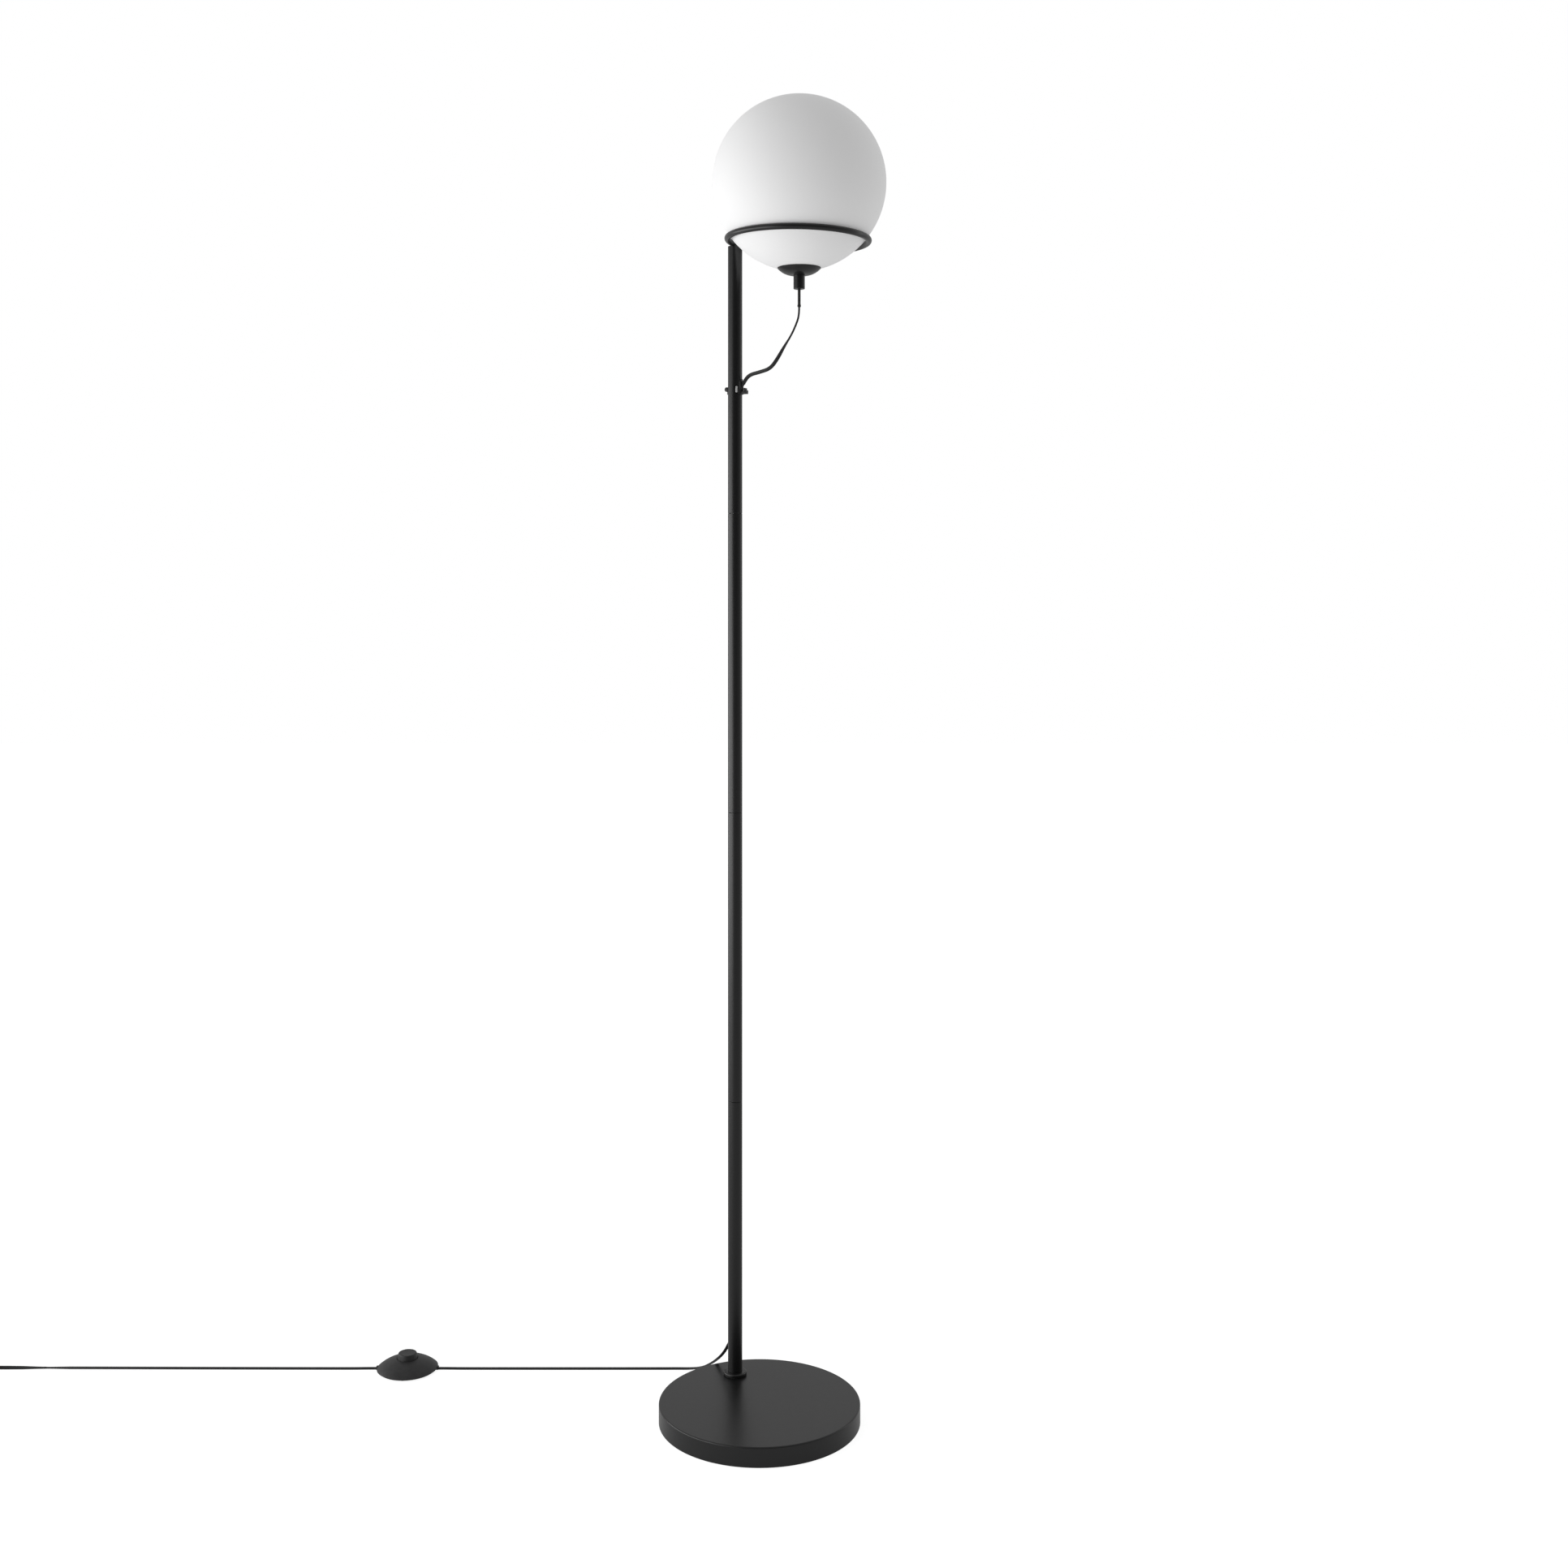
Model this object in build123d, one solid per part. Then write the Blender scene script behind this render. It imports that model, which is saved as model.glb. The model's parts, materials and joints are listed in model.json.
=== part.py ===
from build123d import *
from math import cos, sin, sqrt, radians, tan, pi
import os

# Globe floor lamp: an opal glass globe resting in a wire ring on a slim four-piece pole.
# Millimetres, +Z up.  The origin is the centre of the round base, on the floor.
# +X is to the right and +Y away from someone who faces the lamp.

os.makedirs("parts", exist_ok=True)

# ---------------------------------------------------------------- driving dimensions
# base
BASE_DIAMETER = 227.4
BASE_HEIGHT = 22.4
COVER_WALL = 1.2
COVER_EDGE_RADIUS = 1.6
PAD_THICKNESS = 2.0
PAD_INSET = 4.0
RIM_LIFT = 0.5              # the cover's rim stays this far above the floor
BALLAST_CLEARANCE = 0.3
# pole
POLE_X = -28.7
POLE_Y = 70.2
POLE_DIAMETER = 16.7
POLE_WALL = 1.2
POLE_TOP_DROP = 1.3         # the pole ends this far below the ring's height
SEAM_SHARES = (0.2401, 0.4968, 0.7627)   # of the way up the pole
SEAM_GAP = 0.25
END_PLUG_LENGTH = 14.0
THREAD_DIAMETER = 10.0
THREAD_CLEARANCE = 0.05
NIPPLE_BORE = 6.6
# foot
COLLAR_DIAMETER = 27.0
COLLAR_HEIGHT = 3.6
COLLAR_EDGE_RADIUS = 1.2
FOOT_WASHER_DIAMETER = 25.4
FOOT_WASHER_HEIGHT = 0.8
STUD_WASHER_DIAMETER = 22.0
STUD_WASHER_HEIGHT = 2.0
NUT_ACROSS_FLATS = 17.0
NUT_HEIGHT = 4.5
STUD_TIP = 2.0              # how far the stud shows past its nut
POCKET_CLEARANCE = 2.0
# ring and globe
RING_SHARE = 0.40525        # the ring's radius, to the middle of the wire, over the globe's diameter
RING_WIRE = 7.2
RING_DIRECTION = -25.9      # degrees from +X to the ring's middle, seen from above
RING_HEIGHT = 1340.8
RING_DROOP = 1.1            # degrees that the ring hangs down at its free side
GLOBE_DIAMETER = 200.0
RING_RADIUS = GLOBE_DIAMETER * RING_SHARE
POLE_TOP = RING_HEIGHT - POLE_TOP_DROP
GLASS_WALL = 3.0
GLASS_SEAT_GAP = 0.3
GLASS_MOUTH_DIAMETER = 34.0
# head under the globe
CAP_DIAMETER = 50.0
CAP_DEPTH = 8.1
CAP_BULGE = 2.2             # how far the dish swells past a plain cone
CAP_WALL = 1.0
CAP_GAP = 0.9
GASKET_WIDTH = 1.3
GASKET_GAP = 0.3
STEM_DIAMETER = 13.1
STEM_LENGTH = 15.8
STEM_BORE = 6.4
STEM_THREAD_LENGTH = 7.0
STEM_NUT_HEIGHT = 3.0
SLEEVE_WIDTH = 5.4
SLEEVE_THICKNESS = 3.3
SLEEVE_LENGTH = 20.7
SLEEVE_GRIP = 6.0           # how far the sleeve goes up into the stem
GRIP_CLEARANCE = 0.05
HUB_DIAMETER = 28.0
HUB_WALL = 2.0
HUB_FLOOR = 2.0
HUB_STEP = 2.6
HUB_TOP = 91.5              # below the globe's centre
COLLAR_FIT = 0.3            # running gap between the hub and the glass collar
HOLDER_DIAMETER = 22.0
HOLDER_HEIGHT = 16.0
HOLDER_SLOT = (2.6, 5.2)    # one pin slot in plan
HOLDER_SLOT_DEPTH = 12.5
HOLDER_SCREW_OFFSET = 8.9
HOLDER_SCREW = 2.2
HOLDER_SCREW_HEAD = (4.4, 1.5)
HOLDER_SCREW_LENGTH = 13.0
CONTACT_WALL = 0.5
PIN_SPACING = 9.0
BULB_DIAMETER = 17.0
BULB_LENGTH = 44.0
BULB_BASE_HEIGHT = 9.0
BULB_BASE_WIDTH = 15.0
BULB_BASE_DEPTH = 7.0
BULB_GAP = 0.3
PIN_LENGTH = 11.0
PIN_SIZE = (0.7, 3.6)
# cords: flat twin flex, drawn as a round cord of the same section
FLEX_WIDTH = 4.4
FLEX_THICKNESS = 2.3
CORD_DIAMETER = 3.4
CORD_CLEARANCE = 0.1
# cord clip and grommets
CLIP_WALL = 1.6
CLIP_DROP = 172.6           # from the pole's top to the clip's lower edge
CLIP_LOW = POLE_TOP - CLIP_DROP
CLIP_HEIGHT = 8.6
CLIP_FOOT_HEIGHT = 2.9
CLIP_FOOT_REACH = 15.7
CLIP_LIP_START = 13.0
CLIP_LIP = 1.6
CLIP_LIP_HEIGHT = 3.9
CLIP_WIDTH = 6.4
CLIP_LUG_REACH = 11.6
CLIP_LUG_HEIGHT = 5.1
CLIP_LUG_WIDTH = 5.2
CLIP_OPEN = 7.2             # above its foot the clip stops this far towards the globe
CLIP_FIT = 0.05
CLIP_SCREW_HEAD = (4.4, 1.6)
CLIP_SCREW = 2.4
SLOT_HEIGHT = 16.0
SLOT_WIDTH = 6.0
SLOT_RISE = 16.5            # from the clip's lower edge to the slot's top
SLOT_TOP = CLIP_LOW + SLOT_RISE
FLANGE_WIDTH = 8.4
FLANGE_WALL = 0.9
SLOT_PLUG_HEIGHT = 8.6
SLOT_PLUG_WIDTH = 3.4
SLOT_PLUG_TURN = -76.5      # degrees from +X, a little right of the front
SLOT_PLUG_PROUD = 0.7
SLOT_PLUG_RISE = 5.3
SLOT_PLUG_MIDDLE = CLIP_LOW + SLOT_PLUG_RISE
SLOT_CLEARANCE = 0.1
EXIT_HEIGHT = 60.0
EXIT_TURN = 120.0           # degrees from +X: behind and to the left
EXIT_SLOT_HEIGHT = 13.0
ENTRY_REACH = 10.6          # from the pole's axis to where the cord goes in
ENTRY_DROP = 4.8            # below the slot's top
GLOBE_CORD_STRAIGHT = 9.5   # the cord falls straight out of its sleeve
# the loop's corners: shares of the way out and up from where it goes in to the sleeve
GLOBE_LOOP = (
    (0.961, 0.759), (0.869, 0.615), (0.747, 0.476), (0.622, 0.311),
    (0.497, 0.190), (0.302, 0.150), (0.132, 0.124), (0.048, 0.068),
)
# corners inside the pole, in pole radii from its axis and below the entry
INNER_BEND = ((0.79, 0.862), (0.30, 2.108), (0.036, 3.665), (0.0, 5.581))
# and above the exit
EXIT_BEND = ((0.0, 4.431), (0.108, 2.515))
EXIT_STRAIGHT = 11.0
EXIT_SLOPE = (0.62, 0.785)  # outwards and down
# corners between the exit and the floor: shares of the way across, back and up
LANDING_REACH = 3.3         # past the base's rim, to where the cord lies straight
LANDING_BEND = (
    (0.0884, 0.2215, 0.69), (0.1541, 0.3426, 0.53), (0.2497, 0.5329, 0.3483),
    (0.3572, 0.7232, 0.1917), (0.4648, 0.8789, 0.0817), (0.6069, 0.9654, 0.0333),
    (0.7838, 0.9983, 0.0292),
)
GLAND_STRAIGHT = 12.0
GLAND_RISE = 20.0           # run over which the cord climbs from the floor to the switch
# foot switch
SWITCH_X = -424.1
SWITCH_Y = 136.0
SWITCH_DIAMETER = 72.8
SWITCH_TOP_HEIGHT = 14.4
SWITCH_MID_DIAMETER = 52.0
SWITCH_MID_HEIGHT = 9.9
SWITCH_RIM_HEIGHT = 2.9
SWITCH_UNDERCUT = 2.4       # the rim narrows by this much on its way down
SWITCH_LIP = 1.6
SWITCH_WALL = 1.8
SWITCH_FOOT_HEIGHT = 1.0
SWITCH_FOOT_DIAMETER = 8.0
SWITCH_PLATE_WALL = 1.6
SWITCH_CORD_HEIGHT = 1.9
BUTTON_LOW_DIAMETER = 24.4
BUTTON_TOP_DIAMETER = 21.6
BUTTON_TOP_HEIGHT = 20.7
BUTTON_TRAVEL = 3.5
BUTTON_EDGE_RADIUS = 1.2
BUTTON_WALL = 1.3
BUTTON_FLANGE = 1.4
BUTTON_FLANGE_HEIGHT = 1.2
RUNNING_GAP = 0.3
BLOCK_SIZE = (13.0, 10.0, 6.0)
SPRING_WIRE = 0.8
SPRING_DIAMETER = 8.0
SPRING_TURNS = 5
PLUNGER_DIAMETER = 5.0
PLUNGER_GRIP = 1.5
GLAND_PROUD = 1.2
GLAND_LENGTH = 14.6
GLAND_BLOCK = 6.0
GLAND_WIDTH = 9.0
GLAND_HEIGHT = 2.9
CHANNEL_WIDTH = 5.0
CHANNEL_RUN = 6.0           # the channel goes this far in past the gland
NOTCH_RISE = 2.4
NOSE_LIFT = 0.3
SCREW_RING = 28.0
BOSS_DIAMETER = 6.0
BOSS_HEIGHT = 4.2
SWITCH_SCREW = 2.6
SWITCH_SCREW_HEAD = (5.0, 0.9)
SCREW_CLEARANCE = 0.2
TERMINAL_SIZE = (4.0, 3.6, 4.0)
TERMINAL_PLACE = (11.5, 2.6)
TERMINAL_CLEAR = 2.0
WIRE_DIAMETER = 1.2
WIRE_SPREAD = 1.0
# plug
PLUG_WIDTH = 35.0
PLUG_HEIGHT = 13.7
PLUG_LENGTH = 34.0
PLUG_TIP_WIDTH = 13.0
PLUG_PIN_DIAMETER = 4.0
PLUG_PIN_LENGTH = 19.0
PLUG_PIN_SPACING = 18.6
RELIEF_LENGTH = 22.0
RELIEF_DIAMETERS = (7.6, 4.2)
RELIEF_RIBS = 4
PLUG_SHOULDER = 17.0
PLUG_PIN_GRIP = 6.0
PLUG_EDGE_RADIUS = 2.0
# coil of the put-away cord
COIL_X = -946.0
COIL_RADIUS = 31.0
COIL_PITCH = 3.85
COIL_HALF_TURNS = 6         # in the lower layer, and in the upper one with its climb
COIL_SAMPLES = 1200         # points compared to find the least gap between its turns

FLOOR_CORD_Y = SWITCH_Y
CORD_RADIUS = CORD_DIAMETER / 2
COIL_LAYER = PLUG_HEIGHT / 2 - CORD_RADIUS   # the upper turns lie level with the plug
POLE_RADIUS = POLE_DIAMETER / 2
POLE_BORE = POLE_RADIUS - POLE_WALL
BASE_RADIUS = BASE_DIAMETER / 2
POLE_FOOT = BASE_HEIGHT + FOOT_WASHER_HEIGHT + COLLAR_HEIGHT


# ---------------------------------------------------------------- helpers
def save(node, shape):
    """Write one piece, or a group of like pieces, as its own file."""
    export_step(shape, f"parts/{node}.step")


def rod(radius, low, high, x=0.0, y=0.0):
    """Upright round bar between two heights."""
    return Pos(x, y, low) * extrude(Circle(radius), high - low)


def tube(outer, inner, low, high, x=0.0, y=0.0):
    """Upright round tube between two heights."""
    return Pos(x, y, low) * extrude(Circle(outer) - Circle(inner), high - low)


def turned(points, x=0.0, y=0.0):
    """Solid of revolution about an upright axis, from a closed outline of (radius, height)."""
    outline = make_face(Polyline(*[(r, 0, z) for r, z in points], close=True))
    return Pos(x, y, 0) * revolve(outline, Axis.Z)


def hexagon(across_flats, low, high, x=0.0, y=0.0):
    """Upright hexagonal bar."""
    return Pos(x, y, low) * extrude(RegularPolygon(across_flats / 2, 6, major_radius=False), high - low)


def unit(v):
    """The same direction, one long."""
    return v * (1 / v.length)


def bend_path(points):
    """Straight runs joined by arcs as large as the two runs beside each corner allow."""
    pts = [Vector(*p) for p in points]
    radii = []
    for before, here, after in zip(pts, pts[1:], pts[2:]):
        run_in = here - before
        run_out = after - here
        turn = radians(run_in.get_angle(run_out))
        radii.append(0.45 * min(run_in.length, run_out.length) / tan(turn / 2))
    return FilletPolyline(*pts, radius=radii), radii


def cord_tube(name, points):
    """Round cord along a route, with its bend radii and its volume compared on paper."""
    path, radii = bend_path(points)
    start = Plane(origin=path @ 0, z_dir=path % 0)
    solid = sweep(start * Circle(CORD_RADIUS), path=path)
    expected = pi * CORD_RADIUS**2 * path.length
    print(f"{name}: length {path.length:.1f}, least radius {min(radii):.1f}, "
          f"radii {[round(r) for r in radii]}, volume ratio {solid.volume / expected:.4f}")
    return solid


def arc_from(start, direction, end):
    """Arc that leaves start along direction and reaches end."""
    chord = end - start
    along = unit(chord)
    side = direction - along * direction.dot(along)
    half_turn = radians(direction.get_angle(chord)) / 2
    crown = (start + end) * 0.5 + unit(side) * (chord.length / 2 * tan(half_turn))
    return ThreePointArc(start, crown, end)


def quarter_arcs(start, start_direction, end, end_direction):
    """Two arcs that join two points with the given directions: a half turn, level or climbing."""
    chord = end - start
    total = start_direction + end_direction
    spread = 2 * (1 - start_direction.dot(end_direction))
    reach = (-chord.dot(total) + sqrt(chord.dot(total) ** 2 + spread * chord.dot(chord))) / spread
    middle = (start + end + (start_direction - end_direction) * reach) * 0.5
    back = arc_from(end, end_direction * -1, middle)
    return [arc_from(start, start_direction, middle), Edge.make_three_point_arc(middle, back @ 0.5, end)]


# ---------------------------------------------------------------- base
cover_outer = rod(BASE_RADIUS, RIM_LIFT, BASE_HEIGHT)
cover_outer = fillet(cover_outer.edges().sort_by(Axis.Z)[-1], COVER_EDGE_RADIUS)
base_cover = cover_outer - rod(BASE_RADIUS - COVER_WALL, RIM_LIFT, BASE_HEIGHT - COVER_WALL)
stud_hole = THREAD_DIAMETER / 2 + RUNNING_GAP
base_cover -= rod(stud_hole, RIM_LIFT, BASE_HEIGHT, POLE_X, POLE_Y)
save("base_cover", base_cover)

ballast_radius = BASE_RADIUS - COVER_WALL - BALLAST_CLEARANCE
ballast_top = BASE_HEIGHT - COVER_WALL
pocket_depth = STUD_WASHER_HEIGHT + NUT_HEIGHT + STUD_TIP + 1
pocket_top = PAD_THICKNESS + pocket_depth
ballast = rod(ballast_radius, PAD_THICKNESS, ballast_top)
ballast -= rod(stud_hole, PAD_THICKNESS, ballast_top, POLE_X, POLE_Y)
ballast -= rod(STUD_WASHER_DIAMETER / 2 + POCKET_CLEARANCE, PAD_THICKNESS, pocket_top, POLE_X, POLE_Y)
save("base_ballast", ballast)
save("base_pad", rod(BASE_RADIUS - PAD_INSET, 0, PAD_THICKNESS))

washer_top = BASE_HEIGHT + FOOT_WASHER_HEIGHT
save("foot_washer", tube(FOOT_WASHER_DIAMETER / 2, stud_hole, BASE_HEIGHT, washer_top, POLE_X, POLE_Y))
collar = rod(COLLAR_DIAMETER / 2, washer_top, POLE_FOOT, POLE_X, POLE_Y)
collar = fillet(collar.edges().sort_by(Axis.Z)[-1], COLLAR_EDGE_RADIUS)
save("foot_collar", collar - rod(stud_hole, washer_top, POLE_FOOT, POLE_X, POLE_Y))

nut_top = pocket_top - STUD_WASHER_HEIGHT
nut_low = nut_top - NUT_HEIGHT
stud_top = POLE_FOOT + END_PLUG_LENGTH - 1
stud_radius = THREAD_DIAMETER / 2
thread_hole = stud_radius + THREAD_CLEARANCE
save("pole_stud", rod(stud_radius, nut_low - STUD_TIP, stud_top, POLE_X, POLE_Y))
save("stud_washer", tube(STUD_WASHER_DIAMETER / 2, stud_hole, nut_top, pocket_top, POLE_X, POLE_Y))
stud_nut = hexagon(NUT_ACROSS_FLATS, nut_low, nut_top, POLE_X, POLE_Y)
save("stud_nut", stud_nut - rod(thread_hole, nut_low, nut_top, POLE_X, POLE_Y))

# ---------------------------------------------------------------- ring
toward = Vector(cos(radians(RING_DIRECTION)), sin(radians(RING_DIRECTION)), 0)
ring_middle = Vector(POLE_X, POLE_Y, RING_HEIGHT) + toward * RING_RADIUS
ring_place = Location(ring_middle) * Rotation(0, RING_DROOP, 0)
ring = ring_place * Torus(RING_RADIUS, RING_WIRE / 2)
save("support_ring", ring)
ring_groove = ring_place * Torus(RING_RADIUS, RING_WIRE / 2 + THREAD_CLEARANCE)
globe_radius = GLOBE_DIAMETER / 2
globe_seat = sqrt((globe_radius + GLASS_SEAT_GAP + RING_WIRE / 2) ** 2 - RING_RADIUS**2)
ring_normal = Vector(sin(radians(RING_DROOP)), 0, cos(radians(RING_DROOP)))
globe = ring_middle + ring_normal * globe_seat
glass_room = Location(globe) * Sphere(globe_radius + 2 * GLASS_SEAT_GAP)   # the pole's top is scooped for it

# ---------------------------------------------------------------- pole
# In the pole's own frame: u points from the pole to the globe, v to its left, z up.
pole_frame = Location((POLE_X, POLE_Y, 0)) * Rotation(0, 0, RING_DIRECTION)


def pole_piece(low, high):
    """A round tube with a threaded plug welded into each end."""
    piece = tube(POLE_RADIUS, POLE_BORE, low, high)
    for plug_low in (low, high - END_PLUG_LENGTH):
        piece += tube(POLE_BORE, thread_hole, plug_low, plug_low + END_PLUG_LENGTH)
    return piece


def wall_slot(width, height, top):
    """Round-ended slot cut through the side that faces +X, from the axis outwards."""
    blank = SlotOverall(height, width, rotation=90)
    side = Plane(origin=(POLE_BORE - 3, 0, top - height / 2), x_dir=(0, 1, 0), z_dir=(1, 0, 0))
    return extrude(side * blank, POLE_WALL + 6)


def shell_patch(width, height, top, inner, outer):
    """Part of a round shell about the pole's axis, with a round-ended outline facing +X."""
    blank = SlotOverall(height, width, rotation=90)
    side = Plane(origin=(2, 0, top - height / 2), x_dir=(0, 1, 0), z_dir=(1, 0, 0))
    return extrude(side * blank, outer) & tube(outer, inner, top - height, top)


pole_length = POLE_TOP - POLE_FOOT
seams = [POLE_FOOT + pole_length * share for share in SEAM_SHARES]
levels = [POLE_FOOT, *seams, POLE_TOP]
spans = list(zip(levels, levels[1:]))
sections = []
for number, (low, high) in enumerate(spans, 1):
    top = high - (SEAM_GAP if number < len(spans) else 0)
    sections.append(pole_piece(low, top))

entry_slot = wall_slot(SLOT_WIDTH, SLOT_HEIGHT, SLOT_TOP)
exit_turn = Rotation(0, 0, EXIT_TURN - RING_DIRECTION)
exit_slot_top = EXIT_HEIGHT + EXIT_SLOT_HEIGHT / 2 + 1
exit_slot = exit_turn * wall_slot(SLOT_WIDTH, EXIT_SLOT_HEIGHT, exit_slot_top)
front_turn = Rotation(0, 0, SLOT_PLUG_TURN - RING_DIRECTION)
front_top = SLOT_PLUG_MIDDLE + SLOT_PLUG_HEIGHT / 2
slot_gap = 2 * SLOT_CLEARANCE
front_slot = front_turn * wall_slot(
    SLOT_PLUG_WIDTH + slot_gap, SLOT_PLUG_HEIGHT + slot_gap, front_top + SLOT_CLEARANCE)
clip_screw_hole = Rotation(0, -90, 0) * rod(CLIP_SCREW / 2 + SLOT_CLEARANCE, 0, POLE_DIAMETER)
lug_middle = CLIP_LOW + CLIP_HEIGHT - CLIP_LUG_HEIGHT / 2
clip_screw_hole = Pos(0, 0, lug_middle) * clip_screw_hole
sections[0] -= exit_slot
sections[3] = sections[3] - entry_slot - front_slot - clip_screw_hole
# the top section ends in the ring's own plug instead of a threaded one
sections[3] -= rod(POLE_BORE, POLE_TOP - END_PLUG_LENGTH, POLE_TOP)
top_section = (pole_frame * sections[3]) - ring_groove - glass_room
ring_plug = pole_frame * rod(POLE_BORE - THREAD_CLEARANCE, POLE_TOP - END_PLUG_LENGTH, POLE_TOP)
for number, piece in enumerate(sections[:3], 1):
    save(f"pole_section_{number}", pole_frame * piece)
save("pole_section_4", top_section)
save("ring_plug", ring_plug - ring_groove - glass_room)

nipple_reach = END_PLUG_LENGTH - 1
for number, seam in enumerate(seams, 1):
    nipple = tube(stud_radius, NIPPLE_BORE / 2, seam - nipple_reach, seam + nipple_reach)
    save(f"pole_nipple_{number}", pole_frame * nipple)

# ---------------------------------------------------------------- cord routes
globe_bottom = globe.Z - globe_radius
cap_rim = globe.Z - sqrt(globe_radius**2 - (CAP_DIAMETER / 2) ** 2) - CAP_GAP
cap_bottom = cap_rim - CAP_DEPTH
stem_bottom = cap_bottom - STEM_LENGTH
sleeve_bottom = stem_bottom - SLEEVE_LENGTH


def beside_pole(u, z, v=0.0):
    """A point given by its distance from the pole's axis towards the globe, and its height."""
    return (POLE_X + toward.X * u - toward.Y * v, POLE_Y + toward.Y * u + toward.X * v, z)


entry_height = SLOT_TOP - ENTRY_DROP
entry = beside_pole(ENTRY_REACH, entry_height)
loop_reach = RING_RADIUS - ENTRY_REACH
loop_rise = sleeve_bottom - entry_height
globe_route = [(globe.X, globe.Y, sleeve_bottom), (globe.X, globe.Y, sleeve_bottom - GLOBE_CORD_STRAIGHT)]
for out, up in GLOBE_LOOP:
    globe_route.append(beside_pole(ENTRY_REACH + loop_reach * out, entry_height + loop_rise * up))
globe_route.append(entry)
exit_side = Vector(cos(radians(EXIT_TURN)), sin(radians(EXIT_TURN)), 0)
pole_axis = Vector(POLE_X, POLE_Y, 0)
exit_start = pole_axis + exit_side * (POLE_RADIUS + FLANGE_WALL) + Vector(0, 0, EXIT_HEIGHT)
slope_out, slope_down = EXIT_SLOPE
exit_fall = exit_side * slope_out - Vector(0, 0, slope_down)
gland_face = SWITCH_DIAMETER / 2 + GLAND_PROUD
inner_route = [entry]
for out, down in INNER_BEND:
    inner_route.append(beside_pole(POLE_RADIUS * out, entry_height - POLE_RADIUS * down))
for out, up in EXIT_BEND:
    rise = Vector(0, 0, EXIT_HEIGHT + POLE_RADIUS * up)
    inner_route.append(tuple(pole_axis + exit_side * (POLE_RADIUS * out) + rise))
inner_route += [tuple(exit_start - exit_fall * EXIT_STRAIGHT), tuple(exit_start)]
landing = Vector(-BASE_RADIUS - LANDING_REACH, FLOOR_CORD_Y, CORD_RADIUS)
pole_route = [tuple(exit_start), tuple(exit_start + exit_fall * EXIT_STRAIGHT)]
for across, back, up in LANDING_BEND:
    corner_x = exit_start.X + (landing.X - exit_start.X) * across
    corner_y = exit_start.Y + (landing.Y - exit_start.Y) * back
    pole_route.append((corner_x, corner_y, EXIT_HEIGHT * up))
pole_route.append(tuple(landing))
rise_end = gland_face + GLAND_STRAIGHT
rise_start = rise_end + GLAND_RISE
pole_route += [
    (SWITCH_X + rise_start, FLOOR_CORD_Y, CORD_RADIUS),
    (SWITCH_X + rise_end, FLOOR_CORD_Y, SWITCH_CORD_HEIGHT),
    (SWITCH_X + gland_face, FLOOR_CORD_Y, SWITCH_CORD_HEIGHT),
]
plug_route = [
    (SWITCH_X - gland_face, FLOOR_CORD_Y, SWITCH_CORD_HEIGHT),
    (SWITCH_X - rise_end, FLOOR_CORD_Y, SWITCH_CORD_HEIGHT),
    (SWITCH_X - rise_start, FLOOR_CORD_Y, CORD_RADIUS),
    (COIL_X, FLOOR_CORD_Y, CORD_RADIUS),
]
save("globe_lead", cord_tube("globe_lead", globe_route))
inner_lead = cord_tube("inner_lead", inner_route)
save("inner_lead", inner_lead)
save("pole_lead", cord_tube("pole_lead", pole_route))
save("plug_lead", cord_tube("plug_lead", plug_route))

# ---------------------------------------------------------------- coil of cord with the plug
coil_arcs = []
heading = Vector(-1, 0, 0)
here = Vector(COIL_X, FLOOR_CORD_Y, CORD_RADIUS)
side_sign = -1
for half in range(2 * COIL_HALF_TURNS):
    step = min(half, 2 * COIL_HALF_TURNS - half)
    radius = COIL_RADIUS - step * COIL_PITCH / 2
    climb = COIL_LAYER if half == COIL_HALF_TURNS else 0
    there = here + Vector(0, side_sign * 2 * radius, climb)
    coil_arcs += quarter_arcs(here, heading, there, heading * -1)
    here = there
    heading = heading * -1
    side_sign = -side_sign
# a last quarter turn leaves the coil towards the plug
turn_out = here + heading * COIL_RADIUS + Vector(0, side_sign * COIL_RADIUS, 0)
coil_arcs.append(arc_from(here, heading, turn_out))
coil_exit = Vector(0, side_sign, 0)
coil_end = turn_out + coil_exit * CORD_DIAMETER
coil_arcs.append(Line(turn_out, coil_end))
coil_path = Wire([arc if isinstance(arc, Edge) else arc.edge() for arc in coil_arcs])
coil_section = Plane(origin=coil_path @ 0, z_dir=coil_path % 0) * Circle(CORD_RADIUS)
coil = sweep(coil_section, path=coil_path)
coil_points = [coil_path @ (i / COIL_SAMPLES) for i in range(COIL_SAMPLES + 1)]
apart = int(COIL_SAMPLES * 3 * CORD_DIAMETER / coil_path.length) + 1
least_gap = min(
    (a - b).length for i, a in enumerate(coil_points) for b in coil_points[i + apart:]
) - CORD_DIAMETER
print(f"coil: length {coil_path.length:.1f}, least gap {least_gap:.2f}, "
      f"volume ratio {coil.volume / (pi * CORD_RADIUS**2 * coil_path.length):.4f}, end {coil_end}")
save("plug_lead_coil", coil)

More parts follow.
